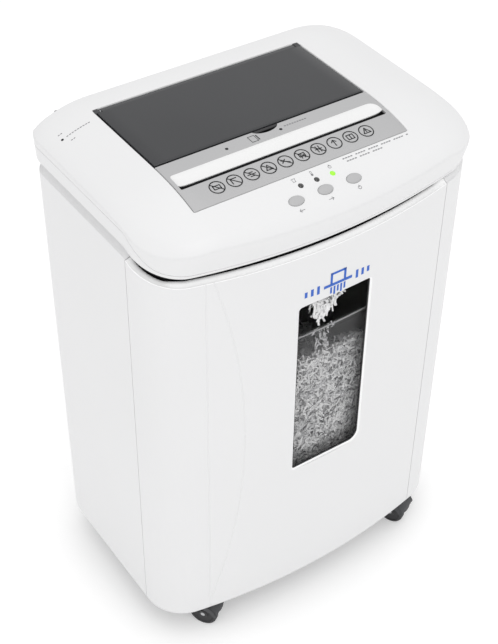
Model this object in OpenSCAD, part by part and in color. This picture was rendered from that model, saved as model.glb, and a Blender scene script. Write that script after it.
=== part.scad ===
/* [Cabinet] */
// Width of the cabinet, side to side
body_w = 378; // [370:1:384]
// Front of the cabinet at the middle of its bow
front_y = -126.5; // [-128:0.5:-125]
// Flat rear of the cabinet
rear_y = 122.5; // [121:0.5:124]
// Radius of the bowed front
front_bow = 743; // [700:1:800]
// Radius of the two front corners
corner_r = 46; // [42:1:50]
// Radius of the two rear corners
rear_r = 30; // [26:1:34]
// Top of the cabinet along its sides
side_top = 515; // [513:1:516]
// Top of the cabinet at the front
front_top = 493; // [491:1:494]
// Thickness of the cabinet and drawer walls
wall = 3; // [2.5:0.5:3]
// Where the drawer front meets the cabinet on the left side
left_seam_y = -62.3; // [-64:0.1:-60]
// Where the drawer front meets the cabinet on the bowed front
right_seam_x = 143.9; // [143:0.1:145]

/* [Window] */
// Left edge of the window
window_x0 = -40; // [-44:1:-36]
// Right edge of the window
window_x1 = 45; // [42:1:48]
// Lower edge of the window
window_z0 = 212.6; // [208:0.2:216]
// Upper edge of the window
window_z1 = 431; // [426:1:435]

/* [Head] */
// Width of the head
head_w = 376; // [374:1:378]
// Front of the head at the middle of its bow
head_front = -135; // [-135:0.5:-134]
// Rear of the head
head_rear = 132; // [131:0.5:133]
// Radius of the head's bowed front
head_bow = 520; // [500:1:560]
// Radius of the head's front corners
head_corner_r = 52; // [48:1:56]
// Radius of the head's rear corners
head_rear_r = 42; // [38:1:46]
// Height of the flat middle of the top
top_z = 569.6; // [569:0.1:570]
// Lower edge of the head along the sides
skirt_side = 525; // [524:1:526]
// Lower edge of the head at the front
skirt_front = 504; // [503:1:505]
// Thickness of the head's shells
skin = 3; // [2.5:0.5:3]

/* [Feed] */
// Width of the paper cover and the silver panel
inset_w = 238; // [236:1:240]
// Line between the paper cover and the silver panel
cover_front = -21.5; // [-22:0.5:-21]
// Front edge of the silver panel
panel_front = -88.6; // [-90:0.2:-88]
// Width that the cutters take
paper_w = 228; // [222:1:230]
// Clear width of the feed slot
slot_gap = 5; // [4.8:0.1:5.2]

/* [Cutting unit] */
// Outer radius of the cutter discs
disc_r = 19; // [18.4:0.1:19]
// Thickness of one cutter disc
disc_t = 3; // [2.8:0.1:3]
// Distance from one cutter disc to the next
disc_pitch = 6.6; // [6.5:0.1:6.8]

/* [Casters] */
// Radius of a caster wheel
wheel_r = 16; // [15:0.5:16]
// Distance of the casters from the middle, sideways
caster_x = 136; // [135:0.5:137]
// How far the two front casters stand in front of the middle
caster_front = 90; // [86:1:91]
// How far the two rear casters stand behind the middle
caster_rear = 84; // [80:1:86]

/* [Hidden] */
$fn = 64;
fit = 0.05;
gap = 0.4;
// Height of the casters, which is where the cabinet starts
caster_h = 36;
// Middle of the paper path, which is off centre to leave room for the gears
feed_x = -13;
// Rear edge of the paper cover
inset_rear = 90;
// The pair of cutter shafts: distance between them, height, and middle from front to back
shaft_gap = 34;
cutter_z = 500;
cutter_y = -57;
base_z = caster_h + 2;
base_t = 6;
bend_y = left_seam_y + 4;
pan_z = 462;
neck_inset = 12;
ledge = neck_inset - 0.5;
parting_side = 545;
parting_front = 509;
inset_x0 = feed_x - inset_w / 2;
inset_x1 = feed_x + inset_w / 2;
paper_x0 = feed_x - paper_w / 2;
paper_x1 = feed_x + paper_w / 2;
slot_rear = -54.8;
slot_front = slot_rear - slot_gap;
trough_rear = -41;
hinge_y = inset_rear - 2.8;
hinge_z = 566.6;
barrel_r = 2.8;
pin_r = 1.95;
ear_w = 5.2;
cover_t = 2.6;
tray_z = 545;
plate_t = 2.5;
plate_front = -95.5;
bracket_t = 3;
bracket_w = 22;
left_plate_x = feed_x - 131.5;
right_plate_x = feed_x + 129;
rear_axis_y = cutter_y + shaft_gap / 2;
front_axis_y = cutter_y - shaft_gap / 2;
journal_r = 5;
bush_r = 8;
stub_r = 3;
motor_y = 62;
motor_z = 508;
motor_r = 31;
roller_y = 0;
roller_z = 538;
roller_r = 10.5;
belt_x = left_plate_x - 17;
pulley_big = 12;
pulley_small = 8;
button_y = -113.6;
button_xs = [-40.5, -8.3, 23.9];
button_tilt = 24;
led_y = -102;
led_xs = [-27.5, -9.7, 8.2];
led_r = 2.6;
tub_inset = 11;
tub_x0 = -178;
tub_x1 = 139;
tub_top = 385;
tub_floor = 51.5;
tub_t = 2.4;
pile_top = 345;
rail_xs = [-156, 120];
rod_places = [[-89.5, 474], [-89.5, 526], [12, 474], [-26, 530]];
post_places = [[78, 484], [78, 524], [-14, 472]];
post_r = 3.5;
nut_t = 1.8;
ring_drop = 3.4;
slope_y = -85;
core_r = 10;
disc_count = 34;
outlet_front = -80;
outlet_rear = -34;
rocker_x = -142;
rocker_z = 541;
rocker_tilt = 10;
gland_x = -105;
gland_z = 535;
gland_r = 3.75;
tooth_top = 0.7;
tooth_root = 1;
pressure = 20;
stem_r = 4;
trail = 8;
caster_turns = [214, 205, 12, -18];
caster_places = [
    [-caster_x, -caster_front], [caster_x, -caster_front], [-caster_x, caster_rear], [caster_x, caster_rear]
];

// The gear train from the motor to the rear cutter: teeth and modules
pinion_n = 12;
first_n = 48;
first_m = 1;
first_pinion_n = 12;
second_n = 50;
second_m = 1.25;
second_pinion_n = 12;
output_n = 32;
output_m = 1.75;
pair_n = 17;
first_d = (pinion_n + first_n) * first_m / 2;
second_d = (first_pinion_n + second_n) * second_m / 2;
output_d = (second_pinion_n + output_n) * output_m / 2;
// The first axle hangs below and in front of the motor
first_a = 204;
first_p = [motor_y + first_d * cos(first_a), motor_z + first_d * sin(first_a)];
// The second axle is where its distances to the first axle and to the cutter are both right
span = norm([rear_axis_y, cutter_z] - first_p);
along = (second_d * second_d + span * span - output_d * output_d) / (2 * span);
across = sqrt(second_d * second_d - along * along);
aim = ([rear_axis_y, cutter_z] - first_p) / span;
second_p = first_p + along * aim + across * [aim[1], -aim[0]];
motor_p = [motor_y, motor_z];
rear_p = [rear_axis_y, cutter_z];
front_p = [front_axis_y, cutter_z];
output_x = right_plate_x + plate_t + 2;
second_x = output_x + 12;
first_x = second_x + 9;
gear_plate_x = first_x + 9;

// Points along an arc, leaving out the first one
function arc(x, y, r, a0, a1, n) =
    [for (i = [1:n]) [x + r * cos(a0 + (a1 - a0) * i / n), y + r * sin(a0 + (a1 - a0) * i / n)]];

// A plan with a bowed front, round front corners and smaller rear corners
function plan(hw, fy, bow, r, ry, rr) =
    let (cy = fy + bow)
    let (yc = cy - sqrt(pow(bow - r, 2) - pow(hw - r, 2)))
    let (turn = asin((hw - r) / (bow - r)))
    concat(
        arc(0, cy, bow, 270 - turn, 270 + turn, 20),
        arc(hw - r, yc, r, 270 + turn, 360, 9),
        arc(hw - rr, ry - rr, rr, -10, 90, 10),
        arc(rr - hw, ry - rr, rr, 80, 180, 10),
        arc(r - hw, yc, r, 170, 270 - turn, 10)
    );

// The cabinet's plan, and the head's upper and lower plans, each set in by d
function body_plan(d) = plan(body_w / 2 - d, front_y + d, front_bow - d, corner_r - d, rear_y - d, rear_r - d);
function head_plan(d) =
    plan(head_w / 2 - d, head_front + d, head_bow - d, head_corner_r - d, head_rear - d, head_rear_r - d);
function skirt_plan(d) =
    plan(head_w / 2 - 1.5 - d, head_front + 5 + d, head_bow - d, head_corner_r - d, head_rear - 2 - d,
        head_rear_r - d);

// Height of the head's top surface along its middle line
function crown(y) =
    y > 120 ? crown(120) - 1.1 * (y - 120) :
    y > inset_rear ? top_z - 0.0035 * pow(y - inset_rear, 2) :
    top_z - 0.0135 * (inset_rear - y) - 0.000512 * pow(max(0, -20 - y), 2.3);

// How far the top falls away towards the sides
function side_fall(x) = 0.0107 * pow(max(0, abs(x) - 125), 1.8);

module block(x0, x1, y0, y1, z0, z1) {
    translate([x0, y0, z0]) cube([x1 - x0, y1 - y0, z1 - z0]);
}

// A rod along X
module rod(x0, x1, y, z, r) {
    translate([x0, y, z]) rotate([0, 90, 0]) cylinder(h = x1 - x0, r = r);
}

module prism(points, z0, z1) {
    translate([0, 0, z0]) linear_extrude(z1 - z0) polygon(points);
}

// A (Y, Z) outline drawn out along X
module across_x(points, x0, x1) {
    translate([x0, 0, 0]) rotate([90, 0, 90]) linear_extrude(x1 - x0) polygon(points);
}

// Everything below the line that is level at the sides and falls to the front
module below(side, front) {
    steep = (side - front) / (bend_y - front_y);
    low = side - steep * (bend_y + 200);
    across_x([[-200, 0], [200, 0], [200, side], [bend_y, side], [-200, low]], -250, 250);
}

// A solid up to the crowned top, lowered by d
module under_crown(d, x0, x1, y0, y1) {
    steps = 24;
    top = [for (i = [0:steps]) let (y = y0 + (y1 - y0) * i / steps) [y, crown(y) - d]];
    across_x(concat([[y1, 400], [y0, 400]], top), x0, x1);
}

module under_side_fall(d) {
    steps = 24;
    translate([0, 250, 0]) rotate([90, 0, 0]) linear_extrude(500)
        polygon(concat([[200, 400], [-200, 400]],
            [for (i = [0:steps]) let (x = -200 + 400 * i / steps) [x, top_z + 1 - side_fall(x) - d]]));
}

// The window's outline, with its four corners rounded differently
module window_shape(d) {
    polygon(concat(
        arc(window_x0 + 2, window_z0 + 2, 2 + d, 180, 270, 4),
        arc(window_x1 - 11, window_z0 + 11, 11 + d, 270, 360, 8),
        arc(window_x1 - 2, window_z1 - 2, 2 + d, 0, 90, 4),
        arc(window_x0 + 4, window_z1 - 4, 4 + d, 90, 180, 5)
    ));
}

module window_prism(d) {
    translate([0, -80, 0]) rotate([90, 0, 0]) linear_extrude(80) window_shape(d);
}

// The space that the drawer front fills, set in by d
module drawer_zone(d) {
    block(-220, right_seam_x - d, -200, left_seam_y - d, 0, 600);
}

// Angle between the base circle and a radius on an involute flank
function inv(a) = tan(a) * 180 / PI - a;

// An involute gear as a flat outline, with stub teeth and a little backlash
module gear_outline(n, m) {
    rp = n * m / 2;
    rb = rp * cos(pressure);
    ra = rp + tooth_top * m;
    rf = rp - tooth_root * m;
    r0 = max(rb, rf + 0.02);
    half = 90 / n + inv(pressure) - 0.06 / rp * 180 / PI;
    flank = [for (i = [0:4]) let (r = r0 + (ra - r0) * i / 4) [r, half - inv(acos(min(1, rb / r)))]];
    tooth = concat([[rf, -flank[0][1]]], [for (f = flank) [f[0], -f[1]]], [for (i = [4:-1:0]) flank[i]],
        [[rf, flank[0][1]]]);
    polygon([for (k = [0:n - 1]) for (p = tooth) let (a = p[1] + 360 * k / n) [p[0] * cos(a), p[0] * sin(a)]]);
}

// Rotation of gear b that brings its teeth into the gaps of gear a
function mesh(pa, na, phase_a, pb, nb) =
    let (t = atan2(pb[1] - pa[1], pb[0] - pa[0]))
    t + 180 - (0.5 - (t - phase_a) * na / 360) * 360 / nb;

// A gear on an axis along X
module gear(p, x0, x1, n, m, phase) {
    translate([x0, p[0], p[1]]) rotate([90, 0, 90]) rotate(phase) linear_extrude(x1 - x0) gear_outline(n, m);
}

// Moves its children to a point of the front lip, with Z pointing out of it
module on_lip(x, y) {
    translate([x, y, crown(y)]) rotate([button_tilt, 0, 0]) children();
}

// A long round-ended shape
module oval(length, width, z0, z1) {
    translate([0, 0, z0]) linear_extrude(z1 - z0) {
        square([length - width, width], center = true);
        for (side = [-1, 1]) translate([side * (length - width) / 2, 0]) circle(width / 2);
    }
}

// The raised rim of the cabinet's front, which closes most of the gap under the head
module front_rim() {
    intersection() {
        difference() {
            prism(body_plan(4), front_top - 25, 540);
            prism(body_plan(7), front_top - 26, 541);
        }
        block(-250, 250, -200, slope_y, 400, 600);
        below(skirt_side - ring_drop, skirt_front - ring_drop);
    }
    intersection() {
        difference() {
            prism(body_plan(0), front_top - 25, 540);
            prism(body_plan(7), front_top - 26, 541);
        }
        block(-250, 250, -200, slope_y, 400, 600);
        below(side_top, front_top);
        difference() {
            block(-240, 240, -190, 0, 400, 560);
            below(side_top - 4, front_top - 4);
        }
    }
}

// The cabinet's walls all round
module walls() {
    intersection() {
        difference() {
            prism(body_plan(0), caster_h, 540);
            prism(body_plan(wall), caster_h - 1, 541);
        }
        below(side_top, front_top);
    }
}

module cabinet_shell() {
    color("white") {
        difference() {
            union() {
                walls();
                front_rim();
            }
            drawer_zone(-gap);
        }
        difference() {
            prism(body_plan(wall), side_top - 3, side_top);
            prism(body_plan(ledge), side_top - 4, side_top + 1);
            block(-250, 250, -200, bend_y + 1, 400, 600);
        }
    }
}

module base_plate() {
    color("dimgray") difference() {
        union() {
            intersection() {
                prism(body_plan(wall), base_z, base_z + base_t);
                block(-250, 250, left_seam_y + 1, 250, 0, 100);
            }
            intersection() {
                prism(body_plan(wall + 2), base_z, base_z + base_t);
                block(-250, 250, -250, left_seam_y + 1, 0, 100);
            }
        }
        for (p = caster_places) translate(p) cylinder(h = 100, r = stem_r + 3);
    }
}

module head_brackets() {
    x = -body_w / 2 + wall + 0.1;
    color("silver") for (side = [0, 1], y = [-45, 60]) mirror([side, 0, 0]) {
        block(x, x + bracket_t, y, y + bracket_w, pan_z - 28, pan_z);
        block(x + bracket_t, x + bracket_w, y, y + bracket_w, pan_z - bracket_t, pan_z);
    }
}

// The flat-sided skirt between two sloping lines
module skirt_band(inset, side0, front0, side1, front1) {
    difference() {
        intersection() {
            prism(skirt_plan(0), 480, 560);
            below(side1, front1);
        }
        prism(skirt_plan(inset), 470, 570);
        below(side0, front0);
    }
}

module head_lower_shell() {
    color("white") difference() {
        union() {
            skirt_band(skin, skirt_side, skirt_front, parting_side, parting_front);
            difference() {
                intersection() {
                    prism(skirt_plan(0), 480, 560);
                    below(skirt_side + skin, skirt_front + skin);
                }
                below(skirt_side, skirt_front);
                prism(body_plan(neck_inset + skin), 470, 570);
            }
            intersection() {
                difference() {
                    prism(body_plan(neck_inset), pan_z, 560);
                    prism(body_plan(neck_inset + skin), pan_z + skin, 561);
                }
                below(skirt_side + skin, skirt_front + skin);
            }
        }
        block(paper_x0, paper_x1, outlet_front, outlet_rear, pan_z - 1, pan_z + 10);
        block(rocker_x - 8, rocker_x + 8, 100, 200, rocker_z - 12, 600);
        translate([gland_x, 90, gland_z]) rotate([-90, 0, 0]) cylinder(h = 60, r = 8);
    }
}

module head_top_cover() {
    color("white") difference() {
        intersection() {
            prism(head_plan(0), 480, 600);
            under_crown(0, -250, 250, -150, 150);
            under_side_fall(0);
        }
        intersection() {
            prism(head_plan(skin), 470, 600);
            under_crown(skin, -251, 251, -151, 151);
            under_side_fall(skin);
        }
        below(parting_side, parting_front);
        block(inset_x0 - gap, inset_x1 + gap, panel_front - gap, inset_rear + gap, 500, 600);
        for (x = button_xs) on_lip(x, button_y) oval(16.6, 10.9, -20, 20);
        for (x = led_xs) on_lip(x, led_y) cylinder(h = 40, r = led_r + 0.15, center = true);
        block(rocker_x - 8, rocker_x + 8, 120, 200, rocker_z - 12, rocker_z + 11.4);
    }
}

// A skin of the crowned top, from depth d0 to depth d1
module crown_layer(d0, d1, x0, x1, y0, y1) {
    difference() {
        under_crown(d0, x0, x1, y0, y1);
        under_crown(d1, x0 - 1, x1 + 1, y0 - 1, y1 + 1);
        block(x0 - 1, x1 + 1, y0 - 1, y1 + 1, 390, 500);
    }
}

module silver_panel() {
    color("silver") difference() {
        crown_layer(0, 2.5, inset_x0, inset_x1, panel_front, cover_front);
        block(paper_x0 - 1.4, paper_x1 + 1.4, slot_front - 2.2, trough_rear, 500, 600);
        translate([feed_x, cover_front, 500]) cylinder(h = 100, r = 11);
    }
}

// The sloping rear of the trough with the guide below it, and the guide in front of the slot
module feed_trough() {
    x0 = paper_x0 - 1;
    x1 = paper_x1 + 1;
    rear_top = crown(trough_rear);
    color("white") {
        across_x([[trough_rear, rear_top], [slot_rear, 557], [slot_rear, 532], [slot_rear + 2, 532],
            [slot_rear + 2, 554.6], [trough_rear, rear_top - 2.6]], x0, x1);
        block(x0, x1, slot_front - 2, slot_front, 522, crown(slot_front - 2) - 2.5);
    }
}

module hinge_ear(x) {
    difference() {
        union() {
            block(x, x + ear_w, hinge_y - 3.6, hinge_y + barrel_r, tray_z, hinge_z);
            rod(x, x + ear_w, hinge_y, hinge_z, barrel_r);
        }
        rod(x - 1, x + ear_w + 1, hinge_y, hinge_z, pin_r + fit);
    }
}

module paper_tray() {
    x0 = inset_x0 + gap;
    x1 = inset_x1 - gap;
    y0 = cover_front + gap;
    color("dimgray") {
        difference() {
            block(x0, x1, y0, inset_rear, tray_z, tray_z + 18.3);
            block(x0 + 2, x1 - 2, y0 + 2, inset_rear - 2, tray_z + 2, tray_z + 30);
            block(feed_x - 92, feed_x + 92, -9, 9, tray_z - 1, tray_z + 3);
            block(paper_x0, paper_x1, -18.5, -11, tray_z - 1, tray_z + 3);
            block(x0 - 1, x0 + ear_w + gap, hinge_y - 3.8, inset_rear + 1, tray_z - 1, tray_z + 30);
            block(x1 - ear_w - gap, x1 + 1, hinge_y - 3.8, inset_rear + 1, tray_z - 1, tray_z + 30);
        }
        across_x([[-11, tray_z], [-9, tray_z], [-49, 521.5], [-50.5, 522.5]], paper_x0, paper_x1);
        hinge_ear(x0);
        hinge_ear(x1 - ear_w);
        for (x = [x0, x1 - ear_w - gap])
            block(x, x + ear_w + gap, hinge_y - 3.8, inset_rear, tray_z, tray_z + 2);
    }
}

module autofeed_cover() {
    x0 = inset_x0 + gap;
    x1 = inset_x1 - gap;
    inner0 = x0 + ear_w + gap;
    inner1 = x1 - ear_w - gap;
    color([0.2, 0.2, 0.22, 0.8]) difference() {
        union() {
            difference() {
                crown_layer(0.2, 0.2 + cover_t, x0, x1, cover_front + gap, hinge_y);
                block(x0 - 1, inner0, hinge_y - 4.4, 200, 500, 600);
                block(inner1, x1 + 1, hinge_y - 4.4, 200, 500, 600);
            }
            rod(inner0, inner1, hinge_y, hinge_z, barrel_r);
        }
        rod(inner0 - 1, inner0 + 10, hinge_y, hinge_z, pin_r);
        rod(inner1 - 10, inner1 + 1, hinge_y, hinge_z, pin_r);
    }
}

module cover_hinge_pins() {
    x0 = inset_x0 + gap;
    x1 = inset_x1 - gap;
    color("silver") {
        rod(x0 + 0.3, x0 + ear_w + gap + 10, hinge_y, hinge_z, pin_r);
        rod(x1 - ear_w - gap - 10, x1 - 0.3, hinge_y, hinge_z, pin_r);
    }
}

// Holes that both side plates share
module plate_holes(x) {
    rod(x - 1, x + plate_t + 1, rear_axis_y, cutter_z, bush_r);
    rod(x - 1, x + plate_t + 1, front_axis_y, cutter_z, bush_r);
    rod(x - 1, x + plate_t + 1, roller_y, roller_z, 4 + fit);
}

module left_side_plate() {
    color("silver") difference() {
        across_x([[plate_front, pan_z + skin], [20, pan_z + skin], [20, 552], [-14, 552], [-40, 538],
            [-84, 532], [plate_front, 532]], left_plate_x, left_plate_x + plate_t);
        plate_holes(left_plate_x);
    }
}

module right_side_plate() {
    color("silver") difference() {
        across_x([[plate_front, pan_z + skin], [98, pan_z + skin], [98, 542], [20, 552], [-14, 552], [-40, 538],
            [-84, 532], [plate_front, 532]], right_plate_x, right_plate_x + plate_t);
        plate_holes(right_plate_x);
        rod(right_plate_x - 1, right_plate_x + plate_t + 1, motor_y, motor_z, stub_r + 1.5);
        for (p = [first_p, second_p]) rod(right_plate_x - 1, right_plate_x + plate_t + 1, p[0], p[1], stub_r);
    }
}

module gear_plate() {
    color("silver") difference() {
        union() {
            across_x([[-22, 467], [84, 478], [84, 530], [-22, 530]], gear_plate_x, gear_plate_x + plate_t);
            for (p = post_places) rod(right_plate_x + plate_t, gear_plate_x, p[0], p[1], post_r);
        }
        for (p = [first_p, second_p]) rod(gear_plate_x - 1, gear_plate_x + plate_t + 1, p[0], p[1], stub_r);
        rod(gear_plate_x - 1, gear_plate_x + plate_t + 1, motor_y, motor_z, stub_r + 1);
    }
}

module tie_rods() {
    color("silver") for (p = rod_places) {
        rod(left_plate_x + plate_t, right_plate_x, p[0], p[1], 4);
        for (x = [left_plate_x - nut_t, right_plate_x + plate_t]) translate([x, p[0], p[1]]) rotate([0, 90, 0])
            cylinder(h = nut_t, r = 6, $fn = 6);
    }
}

module shaft_bushes() {
    // Each bush has its flange on the inside of its plate
    color("goldenrod") for (y = [rear_axis_y, front_axis_y], x = [left_plate_x, right_plate_x]) difference() {
        union() {
            flange_x = x == left_plate_x ? x + plate_t : x - 1.5;
            rod(x, x + plate_t, y, cutter_z, bush_r);
            rod(flange_x, flange_x + 1.5, y, cutter_z, bush_r + 2);
        }
        rod(x - 3, x + plate_t + 3, y, cutter_z, journal_r + fit);
    }
}

module gear_axles() {
    color("silver") for (p = [first_p, second_p])
        rod(right_plate_x, gear_plate_x + plate_t, p[0], p[1], stub_r);
}

// A stack of cutter discs on one shaft, from x, with notches for cross cutting
module cutter(y, x, x_end0, x_end1) {
    disc = [[core_r, 0], [disc_r, 0], [disc_r, disc_t], [core_r, disc_t]];
    difference() {
        translate([0, y, cutter_z]) rotate([0, 90, 0]) rotate_extrude() polygon(concat(
            [[0, x_end0], [journal_r, x_end0], [journal_r, paper_x0 - 6], [core_r, paper_x0 - 6]],
            [for (i = [0:disc_count - 1], p = disc) [p[0], x + i * disc_pitch + p[1]]],
            [[core_r, paper_x1 + 6], [journal_r, paper_x1 + 6], [journal_r, x_end1], [0, x_end1]]
        ));
        for (a = [20, 140, 260]) translate([paper_x0 - 4, y, cutter_z]) rotate([a, 0, 0])
            block(0, paper_w + 8, disc_r - 2.5, disc_r + 3.5, -1.5, 1.5);
    }
}

module front_cutter() {
    color("dimgray")
        cutter(front_axis_y, paper_x0 + disc_pitch / 2, left_plate_x - 9, right_plate_x + plate_t + 1);
}

module rear_cutter() {
    color("dimgray") cutter(rear_axis_y, paper_x0, belt_x - 1, output_x + 11);
}

// A bar with one finger in the gap beside each cutter disc
module comb(y_bar0, y_bar1, y_tip, x) {
    block(left_plate_x + plate_t, right_plate_x, y_bar0, y_bar1, 488, 512);
    for (i = [0:disc_count - 2]) translate([x + disc_t + 0.6 + i * disc_pitch, min(y_tip, y_bar0), 493])
        cube([2.4, max(y_tip, y_bar1) - min(y_tip, y_bar0), 14]);
}

module front_stripper() {
    color("gray") comb(-96.6, -93.6, front_axis_y - 12.5, paper_x0 + disc_pitch / 2);
}

module rear_stripper() {
    color("gray") comb(rear_axis_y + 21, rear_axis_y + 26, rear_axis_y + 12.5, paper_x0);
}

module front_cutter_gear() {
    color("silver") difference() {
        gear(front_p, left_plate_x - 8.5, left_plate_x - 2, pair_n, 2,
            mesh(rear_p, pair_n, 0, front_p, pair_n));
        rod(left_plate_x - 10, left_plate_x, front_axis_y, cutter_z, journal_r);
    }
}

module rear_cutter_gear() {
    color("silver") difference() {
        union() {
            gear(rear_p, left_plate_x - 8.5, left_plate_x - 2, pair_n, 2, 0);
            rod(belt_x, left_plate_x - 4, rear_axis_y, cutter_z, pulley_big);
        }
        rod(belt_x - 1, left_plate_x, rear_axis_y, cutter_z, journal_r);
    }
}

module output_gear() {
    color("silver") difference() {
        gear(rear_p, output_x, output_x + 10, output_n, output_m, 0);
        rod(output_x - 1, output_x + 12, rear_axis_y, cutter_z, journal_r);
    }
}

module second_gear() {
    color("white") difference() {
        union() {
            gear(second_p, output_x, second_x + 1, second_pinion_n, output_m,
                mesh(rear_p, output_n, 0, second_p, second_pinion_n));
            gear(second_p, second_x, second_x + 7, second_n, second_m, 0);
        }
        rod(output_x - 1, second_x + 8, second_p[0], second_p[1], stub_r + fit);
    }
}

module first_gear() {
    color("white") difference() {
        union() {
            gear(first_p, second_x, first_x + 1, first_pinion_n, second_m,
                mesh(second_p, second_n, 0, first_p, first_pinion_n));
            gear(first_p, first_x, first_x + 6, first_n, first_m, 0);
        }
        rod(second_x - 1, first_x + 7, first_p[0], first_p[1], stub_r + fit);
    }
}

module motor_body() {
    color("gray") difference() {
        union() {
            rod(4, right_plate_x - 10, motor_y, motor_z, motor_r);
            rod(-4, 4, motor_y, motor_z, motor_r - 6);
            rod(right_plate_x - 10, right_plate_x, motor_y, motor_z, 18);
        }
        rod(-5, right_plate_x + 1, motor_y, motor_z, stub_r + fit);
    }
}

module motor_shaft() {
    color("silver") {
        rod(-20, first_x + 7, motor_y, motor_z, stub_r);
        gear(motor_p, first_x, first_x + 6, pinion_n, first_m, mesh(first_p, first_n, 0, motor_p, pinion_n));
    }
}

module motor_fan() {
    color("black") difference() {
        union() {
            rod(-17, -8, motor_y, motor_z, 8);
            for (a = [0:40:320]) translate([-17, motor_y, motor_z]) rotate([a, 0, 0]) translate([0, 0, -1])
                cube([9, 25, 2]);
        }
        rod(-30, 0, motor_y, motor_z, stub_r);
    }
}

module feed_roller() {
    color("dimgray") {
        rod(belt_x, right_plate_x + plate_t, roller_y, roller_z, 4);
        rod(belt_x, belt_x + 7, roller_y, roller_z, pulley_small);
        for (x = [-70, 0, 70]) rod(feed_x + x - 15, feed_x + x + 15, roller_y, roller_z, roller_r);
    }
}

module feed_belt() {
    color("black") translate([belt_x + 0.5, 0, 0]) rotate([90, 0, 90]) linear_extrude(6) difference() {
        hull() {
            translate(rear_p) circle(pulley_big + 1.9);
            translate([roller_y, roller_z]) circle(pulley_small + 1.9);
        }
        hull() {
            translate(rear_p) circle(pulley_big + 0.35);
            translate([roller_y, roller_z]) circle(pulley_small + 0.35);
        }
    }
}

module control_board() {
    color("green") on_lip(feed_x + 4.7, button_y) block(-58, 58, -12, 24, -14, -12.4);
}

module tact_switches() {
    color("black") for (x = button_xs) on_lip(x, button_y) {
        block(-3, 3, -3, 3, -12.4, -9.4);
        translate([0, 0, -9.4]) cylinder(h = 0.9, r = 1.7);
    }
}

// A light that runs from the control board through the front lip
module indicator(x) {
    color("lime") on_lip(x, led_y) {
        translate([0, 0, -8]) cylinder(h = 8.5, r = led_r);
        translate([0, 0, -10]) cylinder(h = 2, r = led_r + 1);
    }
}

module led_full() {
    indicator(led_xs[0]);
}

module led_overheat() {
    indicator(led_xs[1]);
}

module led_power() {
    indicator(led_xs[2]);
}

module push_button(x) {
    color("lightgray") on_lip(x, button_y) {
        oval(15.8, 10.1, -5, 1.4);
        oval(20, 14, -7, -5);
    }
}

module button_reverse() {
    push_button(button_xs[0]);
}

module button_forward() {
    push_button(button_xs[1]);
}

module button_power() {
    push_button(button_xs[2]);
}

module power_board() {
    color("green") {
        block(-120, -40, 22, 100, pan_z + skin + 5, pan_z + skin + 7);
        for (x = [-116, -44], y = [26, 96]) translate([x, y, pan_z + skin]) cylinder(h = 5, r = 3);
        block(-110, -82, 30, 56, pan_z + skin + 7, pan_z + skin + 30);
        translate([-60, 44, pan_z + skin + 7]) cylinder(h = 26, r = 9);
        block(-108, -76, 68, 88, pan_z + skin + 7, pan_z + skin + 22);
    }
}

module rocker_bezel() {
    color("black") difference() {
        union() {
            block(rocker_x - 8, rocker_x + 8, 118, 132, rocker_z - 12, rocker_z + 11.4);
            block(rocker_x - 9, rocker_x + 9, 132, 133.6, rocker_z - 13, rocker_z + 11.8);
        }
        block(rocker_x - 6, rocker_x + 6, 121, 140, rocker_z - 10.2, rocker_z + 10.2);
        rod(rocker_x - 7, rocker_x + 7, 131, rocker_z, 1.5 + fit);
    }
}

module power_rocker() {
    color("black") {
        translate([rocker_x, 131, rocker_z]) rotate([rocker_tilt, 0, 0]) block(-5.6, 5.6, -3, 4, -9, 9);
        rod(rocker_x - 6.8, rocker_x + 6.8, 131, rocker_z, 1.5);
    }
}

module cord_gland() {
    color("black") translate([gland_x, 0, gland_z]) rotate([-90, 0, 0]) difference() {
        union() {
            translate([0, 0, 117]) cylinder(h = 18, r = 8);
            translate([0, 0, 130]) cylinder(h = 3, r = 9.8);
        }
        translate([0, 0, 110]) cylinder(h = 40, r = gland_r);
    }
}

module interlock_switch() {
    color("black") {
        block(100, 120, -108, -98, pan_z - 13, pan_z);
        translate([110, -103, pan_z - 15]) cylinder(h = 2, r = 2);
    }
}

module interlock_tab() {
    color("white") intersection() {
        block(104, 116, -130, -98, pan_z - 18.5, pan_z - 15.5);
        prism(body_plan(wall), 400, 500);
    }
}

module drawer_front() {
    color("white") difference() {
        intersection() {
            union() {
                walls();
                front_rim();
            }
            drawer_zone(gap);
        }
        window_prism(0);
    }
}

module window_pane() {
    color([0.8, 0.85, 0.9, 0.3]) intersection() {
        difference() {
            prism(body_plan(0.8), 200, 440);
            prism(body_plan(wall), 199, 441);
        }
        window_prism(0);
    }
}

// The tub's plan, set in by d from the drawer's own outline
module tub_prism(d, z0, z1) {
    intersection() {
        prism(body_plan(tub_inset + d), z0, z1);
        block(tub_x0 + d, tub_x1 - d, -200, 110 - d, 0, 600);
    }
}

module bin_tub() {
    color([0.25, 0.25, 0.27, 0.8]) difference() {
        tub_prism(0, tub_floor, tub_top);
        tub_prism(tub_t, tub_floor + tub_t, tub_top + 1);
    }
}

module shred_pile() {
    color("whitesmoke") difference() {
        tub_prism(tub_t + 0.6, tub_floor + tub_t, pile_top);
        for (side = [0, 1]) mirror([side, 0, 0])
            translate([60, -150, pile_top]) rotate([0, 8, 0]) cube([200, 300, 60]);
    }
}

module drawer_rails() {
    color("silver") for (x = rail_xs) block(x - 4, x + 4, -104, 104, base_z + base_t, tub_floor - 1.5);
}

module drawer_runners() {
    color("dimgray") for (x = rail_xs) for (side = [-8, 4.8])
        block(x + side, x + side + 3.2, -100, 102, base_z + base_t + 0.6, tub_floor);
}

module caster_sockets() {
    color("dimgray") for (p = caster_places) translate(p) difference() {
        union() {
            translate([0, 0, base_z]) cylinder(h = 12, r = stem_r + 3);
            translate([0, 0, base_z - 1.5]) cylinder(h = 1.5, r = 11);
        }
        translate([0, 0, base_z - 2]) cylinder(h = 12, r = stem_r + fit);
    }
}

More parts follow.
